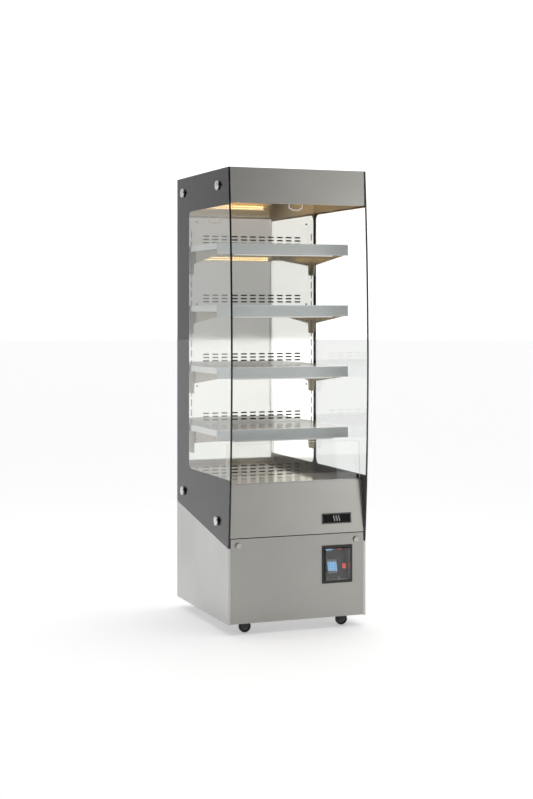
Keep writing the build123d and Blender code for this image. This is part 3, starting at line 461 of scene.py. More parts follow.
bm = bmesh.new()
rim = plate_height / 2 - 0.003
side_rim = plate_width / 2 - 0.003
face_up = Matrix.Translation(plate_frame.to_3x3() @ Vector((0, plate_height / 2, 0)))
badge_frame = face_up @ plate_frame
for a, b in (((-side_rim, -rim), (side_rim, -rim)), ((side_rim, -rim), (side_rim, rim)),
             ((side_rim, rim), (-side_rim, rim)), ((-side_rim, rim), (-side_rim, -rim))):
    ribbon(bm, [a, b], line_width, print_thick, badge_frame)
for step in (-1, 0, 1):
    wave = []
    for k in range(wave_steps + 1):
        across = step * wave_gap + wave_swing * math.sin(2 * math.pi * k / wave_steps)
        wave.append((across, -wave_reach + 2 * wave_reach * k / wave_steps))
    ribbon(bm, wave, wave_width, print_thick, badge_frame)
finished("nameplate_print", mesh_of("nameplate_print", bm), silver_print, "cabinet")

# ---- seam ----
# A thin black rubber lip lies along the fascia's lower edge, just above the top of the tipping service
# panel.
seam_rubber = shader("seam_rubber", (0.012, 0.011, 0.010), 0.0, 0.6, Specular_IOR_Level=0.2)
spread(seam_rubber, pattern(seam_rubber, 120), 0.5, 0.7)
low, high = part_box("fascia_panel")
seam_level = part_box("service_panel")[1].z + 0.0008
lip_rise, lip_end = 0.0026, 0.001


def soft_block(bm, corner, opposite, rounding):
    """A block between two corners, with its edges rounded."""
    bmesh.ops.create_cube(bm, size=1.0)
    for vert in bm.verts:
        vert.co = Vector([(a, b)[here > 0] for a, b, here in zip(corner, opposite, vert.co)])
    bmesh.ops.bevel(bm, geom=bm.edges, offset=rounding, segments=2, affect="EDGES")


bm = bmesh.new()
soft_block(bm, (low.x + lip_end, front - 0.0006, seam_level),
           (high.x - lip_end, front + 0.0001, seam_level + lip_rise), 0.0002)
finished("seam_lip", mesh_of("seam_lip", bm), seam_rubber, "cabinet")

# ---- deck, linings and rear wall ----
# The rear wall and the slotted posts are polished stainless that mirrors the light bars and the room softly.
# The deck is satin and the ceiling duller still, and both scatter the bars' warm light; their gold tone is
# painted warm light from the bars.
mirror = shader("polished_steel", (0.80, 0.80, 0.765), 0.86, 0.035)
spread(mirror, pattern(mirror, 5, detail=3), 0.02, 0.05)
tint(mirror, pattern(mirror, 1.7), (0.77, 0.775, 0.74), (0.82, 0.82, 0.785))
relief(mirror, pattern(mirror, 2.2, detail=1), 0.04, 0.004)
dress(mirror, "back_wall", "uprights")
# Gold base tone of the deck: painted warm light from the bars on plain steel.
deck_steel_painted_warm_light = shader("deck_steel_painted_warm_light", (0.80, 0.71, 0.56), 0.7, 0.1)
spread(deck_steel_painted_warm_light, pattern(deck_steel_painted_warm_light, 5, detail=3), 0.07, 0.14)
tint(deck_steel_painted_warm_light, pattern(deck_steel_painted_warm_light, 2.5), (0.76, 0.67, 0.52), (0.82, 0.735, 0.59))
dress(deck_steel_painted_warm_light, "deck_plate")
# Gold base tone of the ceiling: painted warm light from the bars on plain steel.
ceiling_steel_painted_warm_light = shader("ceiling_steel_painted_warm_light", (0.82, 0.66, 0.38), 0.25, 0.22)
spread(ceiling_steel_painted_warm_light, pattern(ceiling_steel_painted_warm_light, 9, detail=3), 0.17, 0.27)
tint(ceiling_steel_painted_warm_light, pattern(ceiling_steel_painted_warm_light, 3), (0.78, 0.62, 0.34), (0.84, 0.68, 0.41))
dress(ceiling_steel_painted_warm_light, "canopy_liner")
dark_screw = shader("dark_screw", (0.10, 0.10, 0.10), 0.9, 0.35)
spread(dark_screw, pattern(dark_screw, 200), 0.28, 0.42)
dress(dark_screw, "wall_screws")

# ---- front guard ----
# A clear guard stands in an aluminium channel on the deck. Its flame-polished sawn edges carry a faint warm
# glow, a painted highlight for the bars' light that they catch.
clear_glass = shader("clear_glass", (0.985, 1.0, 0.99), 0.0, 0.0, Transmission_Weight=1.0, IOR=1.42)
spread(clear_glass, pattern(clear_glass, 3), 0.0, 0.006)
guard_clear = shader("guard_clear", (0.99, 1.0, 0.995), 0.0, 0.0, Transmission_Weight=1.0, IOR=1.49)
spread(guard_clear, pattern(guard_clear, 4), 0.0, 0.008)
dress(guard_clear, "front_guard")
channel_aluminium = shader("channel_aluminium", (0.62, 0.63, 0.63), 0.9, 0.36)
spread(channel_aluminium, pattern(channel_aluminium, 60, (0.4, 1, 8)), 0.3, 0.42)
dress(channel_aluminium, "guard_channel")
# Faint warm glow on thin strips inside the guard's edges: a painted highlight, not a lamp.
painted_edge_highlight = shader("painted_edge_highlight", (0.86, 0.84, 0.76), 0.0, 0.25, Emission_Color=(1.0, 0.93, 0.78, 1),
                       Emission_Strength=0.25)
spread(painted_edge_highlight, pattern(painted_edge_highlight, 60), 0.2, 0.32)
low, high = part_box("front_guard")
guard_lean = math.radians(3)
guard_thick = 0.005
foot = Vector((0, low.y + guard_thick / 2, low.z))
guard_rise = (high.z - low.z) / math.cos(guard_lean) - 0.0003
edge, above_channel = 0.0006, 0.02
bm = bmesh.new()
for x_range, z_range in (((low.x + edge, high.x - edge), (guard_rise - 2 * edge, guard_rise - edge)),
                         ((low.x + edge, low.x + 2 * edge), (above_channel, guard_rise - edge)),
                         ((high.x - 2 * edge, high.x - edge), (above_channel, guard_rise - edge))):
    strip = bmesh.ops.create_cube(bm, size=1.0)["verts"]
    for vert in strip:
        x = x_range[0] if vert.co.x < 0 else x_range[1]
        along = z_range[0] if vert.co.z < 0 else z_range[1]
        across = (-1 if vert.co.y < 0 else 1) * (guard_thick / 2 - edge)
        vert.co = Vector((x, foot.y + along * math.sin(guard_lean) + across * math.cos(guard_lean),
                          foot.z + along * math.cos(guard_lean) - across * math.sin(guard_lean)))
finished("guard_edge_highlights", mesh_of("guard_edge_highlights", bm), painted_edge_highlight, "cabinet")

# ---- side panes ----
# Toughened glass with a dark border printed on its inner face, which leaves a clear window with rounded rear
# corners that runs out to the bowed and enamelled front edge.
dress(clear_glass, "glass_left", "glass_right")
enamel = shader("dark_enamel", (0.014, 0.015, 0.017), 0.0, 0.28, Specular_IOR_Level=0.05)
spread(enamel, pattern(enamel, 40), 0.22, 0.34)
backing = shader("enamel_backing", (0.075, 0.066, 0.060), 0.0, 0.22)
spread(backing, pattern(backing, 40), 0.18, 0.28)
tint(backing, pattern(backing, 4), (0.065, 0.057, 0.052), (0.085, 0.075, 0.068))
tint(enamel, pattern(enamel, 3), (0.012, 0.013, 0.015), (0.020, 0.021, 0.023))


def plate(bm, outline, holes, x_low, x_high):
    """A flat plate whose outline and holes are drawn in (y, z), between two x."""
    edges = []
    for loop in [outline, *holes]:
        ring = [bm.verts.new((x_low, y, z)) for y, z in loop]
        edges += [bm.edges.new((a, b)) for a, b in zip(ring, ring[1:] + ring[:1])]
    flat = bmesh.ops.triangle_fill(bm, edges=edges, use_beauty=True)
    faces = [g for g in flat["geom"] if isinstance(g, bmesh.types.BMFace)]
    grown = bmesh.ops.extrude_face_region(bm, geom=faces)
    moved = [g for g in grown["geom"] if isinstance(g, bmesh.types.BMVert)]
    bmesh.ops.translate(bm, verts=moved, vec=(x_high - x_low, 0, 0))


def arc(centre, radius, start, end, steps):
    """Points of an arc in a plane, angles in degrees."""
    return [(centre[0] + radius * math.cos(math.radians(start + (end - start) * i / steps)),
             centre[1] + radius * math.sin(math.radians(start + (end - start) * i / steps)))
            for i in range(steps + 1)]


pane_low, pane_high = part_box("glass_right")
pane_top, pane_rear, pane_tip = pane_high.z, pane_high.y, pane_low.z
bow = front - pane_low.y
bow_radius = ((pane_top - pane_tip) ** 2 / 4 + bow ** 2) / (2 * bow)
bow_centre = (front - bow + bow_radius, (pane_top + pane_tip) / 2)
window_rear, window_top, window_low, window_corner = front + 0.506, 1.718, 0.620, 0.028
rear_tip = 0.463
fixing_places = ((0.116, 1.802), (0.573, 1.803), (0.573, 0.516), (0.128, 0.442))
fixing_hole = 0.0085
film, film_depth, film_margin = 0.0003, 0.0004, 0.0007


def bow_points(z_from, z_to, inset, steps):
    """Points down the bowed front edge, a little inside it."""
    levels = [z_from + (z_to - z_from) * i / steps for i in range(steps + 1)]
    reach = [math.sqrt(bow_radius ** 2 - (z - bow_centre[1]) ** 2) for z in levels]
    return [(bow_centre[0] - across + inset, z) for across, z in zip(reach, levels)]


for name, side in (("left", -1), ("right", 1)):
    m = film_margin
    border = (bow_points(window_top, pane_top - m, m, 8)
              + [(pane_rear - m, pane_top - m), (pane_rear - m, rear_tip + 2 * m)]
              + bow_points(pane_tip + 2 * m, window_low, m, 12)
              + arc((window_rear - window_corner, window_low + window_corner), window_corner, -90, 0, 8)
              + arc((window_rear - window_corner, window_top - window_corner), window_corner, 0, 90, 8))
    holes = [arc((front + y, z), fixing_hole, 0, 345, 23) for y, z in fixing_places]
    for label, material, depth in (("border_backing", backing, film_depth),
                                   ("printed_border", enamel, 3 * film_depth)):
        bm = bmesh.new()
        at = side * (pane_low.x + depth)
        plate(bm, border, holes, *sorted((at, at + side * film)))
        finished(f"{label}_{name}", mesh_of(label, bm), material, "cabinet")
    bm = bmesh.new()
    strip = (bow_points(pane_tip + 3 * m, pane_top - 2 * m, film_depth, 60)
             + bow_points(pane_top - 2 * m, pane_tip + 3 * m, film_depth + film, 60))
    plate(bm, strip, [], *sorted((side * (pane_low.x + m), side * (pane_high.x - m))))
    finished(f"enamelled_edge_{name}", mesh_of("enamelled_edge", bm), enamel, "cabinet")

# ---- pane fixings ----
# Each pane hangs on four point fixings: a domed satin cap outside, a stem that keeps it off the glass,
# painted black for the shade under the cap, a shank through the pane, and a nut behind the steel plate.
cap_steel = shader("cap_steel", (0.66, 0.66, 0.65), 1.0, 0.30)
spread(cap_steel, pattern(cap_steel, 90, (1, 6, 1)), 0.24, 0.36)
# The stems' black is painted shade from under the caps.
stem_painted_shade = shader("stem_painted_shade", (0.01, 0.01, 0.01), 0.0, 0.4)
spread(stem_painted_shade, pattern(stem_painted_shade, 90), 0.34, 0.5)
cap_radius, cap_thick, stem_radius, stem_length, shank_radius = 0.019, 0.008, 0.013, 0.004, 0.007
nut_radius, nut_thick, plate_inner = 0.011, 0.005, pane_low.x - 0.0015
chamfer, rim_round, rim_level = 0.0006, 0.0024, cap_thick - 0.0032
for name, side in (("left", -1), ("right", 1)):
    caps, stems = bmesh.new(), bmesh.new()
    for y, z in fixing_places:
        centre = (0, front + y, z)
        pane_face = side * pane_high.x
        base = side * (pane_high.x + stem_length)
        dome = [(0.0, base), (cap_radius - chamfer, base), (cap_radius, base + side * chamfer),
                (cap_radius, base + side * rim_level)]
        for a in (math.pi / 8, math.pi / 4, 3 * math.pi / 8):
            dome.append((cap_radius - rim_round + rim_round * math.cos(a),
                         base + side * (rim_level + rim_round * math.sin(a))))
        dome += [(cap_radius - 0.0032, base + side * (cap_thick - 0.0006)),
                 (cap_radius * 0.5, base + side * (cap_thick - 0.0001)),
                 (0.0, base + side * cap_thick)]
        turned(caps, dome, centre, "X", 48)
        turned(stems, [(0.0, pane_face), (stem_radius, pane_face), (stem_radius, base - side * chamfer),
                       (stem_radius - chamfer, base), (0.0, base)], centre, "X", 40)
        start, end = side * (plate_inner - nut_thick - 0.002), side * (pane_high.x - 0.0003)
        turned(caps, [(0.0, start), (shank_radius, start), (shank_radius, end), (0.0, end)], centre, "X", 24)
        face = side * (plate_inner - 0.0001)
        nut_bore, nut_end = shank_radius + 0.0001, face - side * nut_thick
        turned(caps, [(nut_bore, face), (nut_radius, face), (nut_radius, nut_end), (nut_bore, nut_end)],
               centre, "X", 6)
    finished(f"fixing_caps_{name}", smoothed(mesh_of("fixing_caps", caps)), cap_steel, "cabinet",
             ["glass_fixings"])
    finished(f"fixing_stems_{name}", smoothed(mesh_of("fixing_stems", stems)), stem_painted_shade, "cabinet",
             ["glass_fixings"])

# ---- heating and air ----
# Sheathed heater rods, blued by heat, in the duct behind the wall, above a cross-flow fan.
heater = shader("heater_sheath", (0.22, 0.18, 0.16), 0.9, 0.4)
spread(heater, pattern(heater, 40), 0.3, 0.5)
tint(heater, pattern(heater, 14), (0.16, 0.13, 0.17), (0.30, 0.24, 0.18))
dress(heater, "heating_element")

# ---- shelves ----
# Folded stainless trays with bright rims on hooked brackets, whose warm brown tone is painted light from the
# bars. An aluminium rail along the front holds a plain grey ticket strip under its lips.
tray_steel = shader("tray_steel", (0.82, 0.83, 0.82), 0.7, 0.2)
spread(tray_steel, pattern(tray_steel, 8), 0.15, 0.27)
tint(tray_steel, pattern(tray_steel, 3), (0.78, 0.79, 0.78), (0.84, 0.85, 0.84))
rail_grey = shader("ticket_strip", (0.52, 0.555, 0.55), 0.35, 0.42)
spread(rail_grey, pattern(rail_grey, 70, (0.3, 1, 6)), 0.36, 0.5)
tint(rail_grey, pattern(rail_grey, 6, (1, 1, 5)), (0.49, 0.53, 0.525), (0.55, 0.58, 0.575))
# Warm brown tone of the brackets: painted warm light from the bars.
bracket_painted_warm_light = shader("bracket_painted_warm_light", (0.55, 0.49, 0.40), 0.8, 0.22)
spread(bracket_painted_warm_light, pattern(bracket_painted_warm_light, 60), 0.16, 0.28)
tint(bracket_painted_warm_light, pattern(bracket_painted_warm_light, 9), (0.38, 0.325, 0.25), (0.45, 0.39, 0.31))
shelf_numbers = range(1, 5)
rail_height, strip_gap, lip_cover = 0.046, 0.0004, 0.0017
for number in shelf_numbers:
    dress(tray_steel, f"shelf_{number}_tray")
    dress(bracket_painted_warm_light, f"shelf_{number}_brackets")
    low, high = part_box(f"shelf_{number}_tray")
    rail_top, rail_low = high.z, high.z - rail_height
    bm = bmesh.new()
    soft_block(bm, (low.x + strip_gap, low.y + strip_gap, rail_low + lip_cover),
               (high.x - strip_gap, low.y + 0.0021, rail_top - lip_cover), 0.0004)
    finished(f"shelf_{number}_ticket_strip", mesh_of("ticket_strip", bm), rail_grey, f"shelf_{number}")

# ---- light bars ----
# White aluminium bars under the front of each shelf and the ceiling. On the sloping rear face two rows of
# warm diodes sit on a pale strip behind a moulded end plug; the strip's faint orange glow is painted light
# from the diodes.
bar_white = shader("bar_white", (0.80, 0.79, 0.75), 0.25, 0.35)
spread(bar_white, pattern(bar_white, 50), 0.3, 0.45)
# The strip's orange glow is painted light from the diodes; the strip is no lamp.
strip_painted_glow = shader("strip_painted_glow", (0.85, 0.70, 0.45), 0.0, 0.5, Emission_Color=(1.0, 0.56, 0.17, 1),
                    Emission_Strength=0.32)
spread(strip_painted_glow, pattern(strip_painted_glow, 60), 0.4, 0.6)
diode_glow = shader("diode_glow", (1, 0.95, 0.85), 0.0, 0.3, Emission_Color=(1.0, 0.80, 0.46, 1),
                    Emission_Strength=5.0)
spread(diode_glow, pattern(diode_glow, 60), 0.25, 0.35)
plug_grey = shader("plug_grey", (0.35, 0.35, 0.36), 0.0, 0.45)
spread(plug_grey, pattern(plug_grey, 90), 0.4, 0.55)
bar_names = [("canopy_light", "cabinet")] + [(f"shelf_{n}_light", f"shelf_{n}") for n in shelf_numbers]
diode_pitch, diode_size, diode_rows_apart, strip_width = 0.0118, 0.0046, 0.0105, 0.0225
plug_length, plug_rise, plug_thick = 0.022, 0.016, 0.007
for name, body in bar_names:
    dress(bar_white, name)
    low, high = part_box(name)
    slope_high = Vector((0, low.y + 0.022, high.z - 0.014))
    slope_low = Vector((0, low.y + 0.007, high.z - 0.038))
    along = (slope_high - slope_low).normalized()
    out = Vector((0, along.z, -along.y))
    tip = math.atan2(along.z, along.y)
    middle = (slope_high + slope_low) / 2
    length = high.x - low.x
    for label, tree, material, columns, rows, run, rise, size, lift in (
            ("strip", blocks, strip_painted_glow, 1, 1, 0.0, 0.0, (length - 0.012, strip_width, 0.0008), 0.0015),
            ("diodes", domes, diode_glow, int(length / diode_pitch), 2, length - 0.022, diode_rows_apart,
             (diode_size, diode_size, 0.0022), 0.0022)):
        mesh = mesh_from_tree(f"{name}_{label}", tree, {
            "Columns": columns, "Rows": rows, "Run": run, "Rise": rise, "Unit Size": size,
            "Turn": (tip, 0, 0), "Place": middle + out * lift, "Finish": material})
        finished(f"{name}_{label}", mesh, None, body)
    bm = bmesh.new()
    bmesh.ops.create_cube(bm, size=1.0)
    plug_middle = Vector((high.x - 0.005, 0, 0)) + middle + out * 0.0035
    for vert in bm.verts:
        vert.co = (plug_middle + Vector((vert.co.x * plug_length, 0, 0)) + along * vert.co.y * plug_rise
                   + out * vert.co.z * plug_thick)
    bmesh.ops.bevel(bm, geom=bm.edges, offset=0.0012, segments=3, affect="EDGES")
    finished(f"{name}_plug", mesh_of("plug", bm), plug_grey, body)
    beam = Vector((0, 0.55, -0.6)) if name == "canopy_light" else Vector((0, 0.6, -0.5))
    lamps = [soft_light(f"{name}_beam", middle + out * 0.006, middle + beam, (length, 0.02), 0.30,
                        (1.0, 0.80, 0.52))]
    if name == "canopy_light":
        lamps.append(soft_light("ceiling_wash", middle + out * 0.01, middle + Vector((0, 0.2, 0.03)),
                                (length, 0.02), 0.6, (1.0, 0.58, 0.18)))
    for lamp in lamps:
        lamp.visible_glossy = False
        lamp.visible_transmission = False

# ---- blind ----
# A coated cream cloth wound on a sprung aluminium roller behind the canopy's front. The outer turn hangs
# to a rounded bottom bar with a moulded pull handle.
cloth = shader("blind_cloth", (0.82, 0.77, 0.66), 0.0, 0.75, Sheen_Weight=0.15)
weave = pattern(cloth, 900, (1, 1, 1), 2)
spread(cloth, weave, 0.65, 0.85)
tint(cloth, pattern(cloth, 14), (0.78, 0.73, 0.62), (0.84, 0.79, 0.68))
relief(cloth, weave, 0.2, 0.0002)
moulded_white = shader("moulded_white", (0.78, 0.76, 0.72), 0.0, 0.32)
spread(moulded_white, pattern(moulded_white, 90), 0.27, 0.4)
dress(channel_aluminium, "blind_roller")
low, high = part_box("blind_roll")
roller_axis = (low + high) / 2
roll_radius, tube_radius, roll_half = (high.z - low.z) / 2, 0.0162, (high.x - low.x) / 2
turns, steps_per_turn = 4, 36
steps = turns * steps_per_turn
pitch = (roll_radius - tube_radius) / turns
bm = bmesh.new()
rows = []
for i in range(steps + 1):
    angle = math.pi + 2 * math.pi * i / steps_per_turn
    outer = tube_radius + (roll_radius - tube_radius) * i / steps
    row = []
    for radius in (outer, max(outer - pitch * 0.72, tube_radius - 0.0001)):
        y, z = roller_axis.y + radius * math.cos(angle), roller_axis.z + radius * math.sin(angle)
        row += [bm.verts.new((x, y, z)) for x in (-roll_half, roll_half)]
    rows.append(row)
for a, b in zip(rows, rows[1:]):
    for p, q in ((0, 1), (1, 3), (3, 2), (2, 0)):
        bm.faces.new((a[p], a[q], b[q], b[p]))
for end in (rows[0], rows[-1]):
    bm.faces.new((end[0], end[1], end[3], end[2]))
finished("blind_roll_cloth", smoothed(mesh_of("blind_roll_cloth", bm), 50), cloth, "roller",
         ["blind_roll"])

low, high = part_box("blind_fabric")
cloth_y, cloth_thick, cloth_half = (low.y + high.y) / 2, 0.0007, high.x - 0.001
bm = bmesh.new()
columns, rungs = 24, 40
grid = {}
for face_side in (-1, 1):
    for i in range(columns + 1):
        for j in range(rungs + 1):
            x = -cloth_half + 2 * cloth_half * i / columns
            z = low.z + (high.z - low.z) * j / rungs
            wave = 0.0003 * math.sin(i * 1.3) * math.sin(math.pi * j / rungs)
            grid[face_side, i, j] = bm.verts.new((x, cloth_y + wave + face_side * cloth_thick / 2, z))
for face_side in (-1, 1):
    for i in range(columns):
        for j in range(rungs):
            bm.faces.new([grid[face_side, i + a, j + b] for a, b in ((0, 0), (1, 0), (1, 1), (0, 1))])
for i in range(columns):
    for j in (0, rungs):
        bm.faces.new([grid[s, i + a, j] for s, a in ((-1, 0), (-1, 1), (1, 1), (1, 0))])
for j in range(rungs):
    for i in (0, columns):
        bm.faces.new([grid[s, i, j + b] for s, b in ((-1, 0), (-1, 1), (1, 1), (1, 0))])
drop = finished("blind_drop_cloth", mesh_of("blind_drop_cloth", bm), cloth, None,
                ["blind_fabric"])
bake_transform(drop)


def rod_along(bm, path, radius, sides=12):
    """A smooth round bar along points, with flat ends."""
    rings = []
    for i, here in enumerate(path):
        ahead = (path[min(i + 1, len(path) - 1)] - path[max(i - 1, 0)]).normalized()
        aside = ahead.cross(Vector((0, 1, 0))).normalized()
        rings.append([bm.verts.new(here + aside * radius * math.cos(2 * math.pi * k / sides)
                                   + Vector((0, 1, 0)) * radius * math.sin(2 * math.pi * k / sides))
                      for k in range(sides)])
    for a, b in zip(rings, rings[1:]):
        for k in range(sides):
            n = (k + 1) % sides
            bm.faces.new((a[k], a[n], b[n], b[k]))
    for ring in (rings[0], rings[-1]):
        bm.faces.new(ring)


dress(moulded_white, "blind_bar")
low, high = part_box("blind_handle")
stroke, mount_rise = 0.0024, 0.009
handle_y = low.y + stroke
half, dip, shoulder, top = high.x - stroke, 0.0165, low.z + 0.0075, high.z - 0.003
outline = [Vector((x, handle_y, z)) for x, z in (
    (-half, top), (-half, shoulder + 0.004), (-half + 0.0012, shoulder + 0.0012), (-half + 0.004, shoulder),
    (-dip - 0.003, shoulder), (-dip - 0.0005, shoulder - 0.0012), (-dip + 0.0005, low.z + stroke + 0.001),
    (-dip + 0.003, low.z + stroke), (dip - 0.003, low.z + stroke), (dip - 0.0005, low.z + stroke + 0.001),
    (dip + 0.0005, shoulder - 0.0012), (dip + 0.003, shoulder), (half - 0.004, shoulder),
    (half - 0.0012, shoulder + 0.0012), (half, shoulder + 0.004), (half, top))]
bm = bmesh.new()
rod_along(bm, outline, stroke)
bar_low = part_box("blind_bar")[0]
mount = bmesh.ops.create_cube(bm, size=1.0)["verts"]
for vert in mount:
    vert.co = Vector((vert.co.x * 2 * half, (handle_y + 0.001, bar_low.y + 0.0002)[vert.co.y > 0],
                      (top - mount_rise, top)[vert.co.z > 0]))
finished("pull_handle", smoothed(mesh_of("pull_handle", bm)), moulded_white, "blind",
         ["blind_handle"])

# ---- service panel's thumb screws ----
# Satin steel heads with a rounded rim, a shallow turned face and straight knurling, on plain shanks.
ridge_tree = bpy.data.node_groups.new("knurl_ring", "GeometryNodeTree")
ridge_tree.interface.new_socket("Geometry", in_out="OUTPUT", socket_type="NodeSocketGeometry")
for socket, kind in (("Ridges", "Int"), ("Radius", "Float"), ("Ridge Size", "Vector"), ("Turn", "Vector"),
                     ("Place", "Vector"), ("Finish", "Material")):
    ridge_tree.interface.new_socket(socket, in_out="INPUT", socket_type="NodeSocket" + kind)
given = ridge_tree.nodes.new("NodeGroupInput")
circle = ridge_tree.nodes.new("GeometryNodeMeshCircle")
ridge = ridge_tree.nodes.new("GeometryNodeMeshCylinder")
ridge.inputs["Vertices"].default_value = 6
ridge.inputs["Radius"].default_value = 0.5
ridge.inputs["Depth"].default_value = 1.0
where = ridge_tree.nodes.new("GeometryNodeInputPosition")
face_out = ridge_tree.nodes.new("FunctionNodeAlignRotationToVector")
face_out.axis = "X"
put = ridge_tree.nodes.new("GeometryNodeInstanceOnPoints")
move = ridge_tree.nodes.new("GeometryNodeTransform")
solid = ridge_tree.nodes.new("GeometryNodeRealizeInstances")
paint = ridge_tree.nodes.new("GeometryNodeSetMaterial")
result = ridge_tree.nodes.new("NodeGroupOutput")
for source, output, target, into in (
        (given, "Ridges", circle, "Vertices"), (given, "Radius", circle, "Radius"),
        (circle, "Mesh", put, "Points"), (ridge, "Mesh", put, "Instance"),
        (where, "Position", face_out, "Vector"), (face_out, "Rotation", put, "Rotation"),
        (given, "Ridge Size", put, "Scale"), (put, "Instances", move, "Geometry"),
        (given, "Turn", move, "Rotation"), (given, "Place", move, "Translation"),
        (move, "Geometry", solid, "Geometry"), (solid, "Geometry", paint, "Geometry"),
        (given, "Finish", paint, "Material"), (paint, "Geometry", result, "Geometry")):
    ridge_tree.links.new(source.outputs[output], target.inputs[into])

thumb_steel = shader("thumb_steel", (0.46, 0.45, 0.43), 1.0, 0.36)
spread(thumb_steel, pattern(thumb_steel, 120), 0.3, 0.42)
head_radius, head_thick, shank = 0.0122, 0.007, 0.0025
for name in ("left", "right"):
    low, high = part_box(f"thumb_screw_{name}")
    middle = (low + high) / 2
    top = low.y
    bm = bmesh.new()
    under = top + head_thick - 0.0002
    turned(bm, [(0.0, top + 0.0008), (head_radius - 0.004, top + 0.0006), (head_radius - 0.0034, top),
                (head_radius - 0.0018, top), (head_radius - 0.0005, top + 0.0009),
                (head_radius - 0.0003, top + 0.0016), (head_radius - 0.0003, top + head_thick - 0.001),
                (head_radius - 0.0012, under), (shank, under), (shank, high.y - 0.001),
                (shank - 0.0008, high.y), (0.0, high.y)],
           (middle.x, 0, middle.z), "Y", 48)
    finished(f"thumb_screw_head_{name}", smoothed(mesh_of("thumb_screw_head", bm), 30), thumb_steel,
             f"thumb_screw_{name}", [f"thumb_screw_{name}"])
    mesh = mesh_from_tree("thumb_screw_knurl", ridge_tree, {
        "Ridges": 40, "Radius": head_radius - 0.0006, "Ridge Size": (0.0011, 0.0011, head_thick - 0.0026),
        "Turn": upright, "Place": (middle.x, top + head_thick / 2 + 0.0003, middle.z),
        "Finish": thumb_steel})
    finished(f"thumb_screw_knurl_{name}", mesh, None, f"thumb_screw_{name}",
             [f"thumb_screw_{name}"])

# ---- control window ----
# A black moulded box in the service panel. Its leaning console carries the controller, with a lit blue
# screen and rows of keys, and a lit red rocker switch, under a clear lid with a small turn latch.
dress(black_plastic, "control_bezel", "switch_frame")
case_grey = shader("controller_case", (0.10, 0.105, 0.11), 0.0, 0.4)
spread(case_grey, pattern(case_grey, 150), 0.34, 0.5)
dress(case_grey, "controller")
latch_grey = shader("latch_grey", (0.30, 0.30, 0.31), 0.0, 0.35)
spread(latch_grey, pattern(latch_grey, 150), 0.3, 0.42)
dress(latch_grey, "cover_latch")
lid_clear = shader("lid_clear", (0.94, 0.95, 0.96), 0.0, 0.03, Transmission_Weight=1.0, IOR=1.45)
spread(lid_clear, pattern(lid_clear, 12), 0.02, 0.06)
dress(lid_clear, "control_cover")
console_lean = math.radians(15)
console = frame_of((0.1725, front + 0.024, 0.260), console_lean)
controller_middle = Vector((-0.014, -0.013, 0.0))
key_row = Vector((0, 0.0241, 0))


def console_grid(name, tree, columns, rows, run, rise, size, at, lift, material):
    """Small units in rows on the console's face, about a point given across and up that face."""
    mesh = mesh_from_tree(name, tree, {
        "Columns": columns, "Rows": rows, "Run": run, "Rise": rise, "Unit Size": size, "Finish": material,
        "Turn": (math.radians(90) - console_lean, 0, 0), "Place": console @ Vector((at[0], at[1], lift))})
    return finished(name, mesh, None, "service_door")


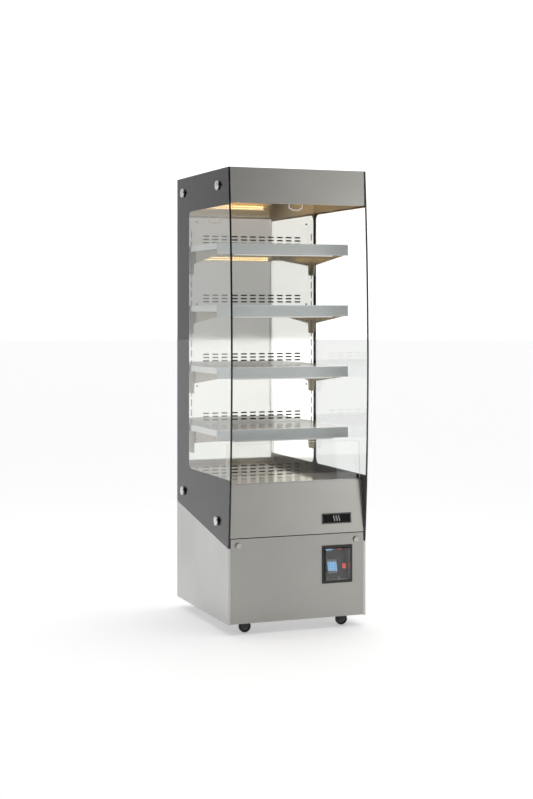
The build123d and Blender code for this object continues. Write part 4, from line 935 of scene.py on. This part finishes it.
screen_pale = shader("screen_pale", (0.45, 0.62, 0.72), 0.0, 0.2, Emission_Color=(0.55, 0.78, 0.90, 1),
                     Emission_Strength=0.42)
spread(screen_pale, pattern(screen_pale, 60), 0.15, 0.25)
screen_blue = shader("screen_blue", (0.08, 0.30, 0.60), 0.0, 0.2, Emission_Color=(0.12, 0.42, 0.78, 1),
                     Emission_Strength=0.6)
spread(screen_blue, pattern(screen_blue, 60), 0.15, 0.25)
key_grey = shader("key_grey", (0.42, 0.44, 0.43), 0.0, 0.45)
spread(key_grey, pattern(key_grey, 200), 0.4, 0.52)
for label, tree, columns, rows, run, rise, size, at, lift, material, slot in (
        ("controller_screen", blocks, 1, 1, 0.0, 0.0, (0.0392, 0.0375, 0.0004), controller_middle, 0.0027,
         screen_pale, "grey_plastic"),
        ("screen_cells", blocks, 3, 4, 0.0250, 0.0270, (0.0106, 0.0076, 0.0003), controller_middle, 0.0030,
         screen_blue, "grey_plastic"),
        ("upper_keys", blocks, 4, 1, 0.0300, 0.0, (0.0078, 0.0052, 0.0012), controller_middle + key_row,
         0.0034, key_grey, "grey_plastic"),
        ("lower_keys", blocks, 4, 1, 0.0300, 0.0, (0.0078, 0.0052, 0.0012), controller_middle - key_row,
         0.0034, key_grey, "grey_plastic"),
        ("console_screws", domes, 2, 2, 0.098, 0.112, (0.005, 0.005, 0.0026), (0, 0), 0.0,
         dark_screw, "zinc")):
    console_grid(label, tree, columns, rows, run, rise, size, at, lift, material)

switch_red = shader("switch_red", (0.72, 0.035, 0.02), 0.0, 0.22, Emission_Color=(1, 0.07, 0.03, 1),
                    Emission_Strength=0.55)
spread(switch_red, pattern(switch_red, 80), 0.18, 0.28)
switch_white = shader("switch_white", (0.85, 0.82, 0.80), 0.0, 0.4)
spread(switch_white, pattern(switch_white, 80), 0.35, 0.45)
rocker_axis = console @ Vector((0.039, -0.013, -0.002))
rocker_frame = frame_of(rocker_axis, console_lean) @ Matrix.Rotation(math.radians(8), 4, "X")
rocker_half_width, rocker_half_rise = 0.00695, 0.00985
bm = bmesh.new()
profile = []
for k in range(17):
    share = -1 + k / 8
    profile.append((share * rocker_half_rise, 0.0046 + 0.0019 * share ** 2))
profile += [(rocker_half_rise * 0.98, 0.0038), (0.005, -0.0028), (-0.005, -0.0028),
            (-rocker_half_rise * 0.98, 0.0038)]
ends = []
for x in (-rocker_half_width, rocker_half_width):
    ends.append([bm.verts.new(rocker_frame @ Vector((x, up, out))) for up, out in profile])
for k in range(len(profile)):
    n = (k + 1) % len(profile)
    bm.faces.new((ends[0][k], ends[0][n], ends[1][n], ends[1][k]))
bm.faces.new(ends[0])
bm.faces.new(ends[1])
pin_radius, pin_half = 0.0011, 0.0082
turned(bm, [(0.0, -pin_half), (pin_radius, -pin_half), (pin_radius, pin_half), (0.0, pin_half)],
       rocker_axis, "X", 16)
finished("rocker_key", smoothed(mesh_of("rocker_key", bm), 25), switch_red, "rocker",
         ["rocker"])
bm = bmesh.new()
for centre, width, rise in ((-0.006, 0.0042, 0.0012), (0.006, 0.0012, 0.0042)):
    mark = bmesh.ops.create_cube(bm, size=1.0)["verts"]
    for vert in mark:
        vert.co = rocker_frame @ Vector((vert.co.x * width, centre + vert.co.y * rise,
                                         0.00545 + vert.co.z * 0.0004))
finished("rocker_marks", mesh_of("rocker_marks", bm), switch_white, "rocker")
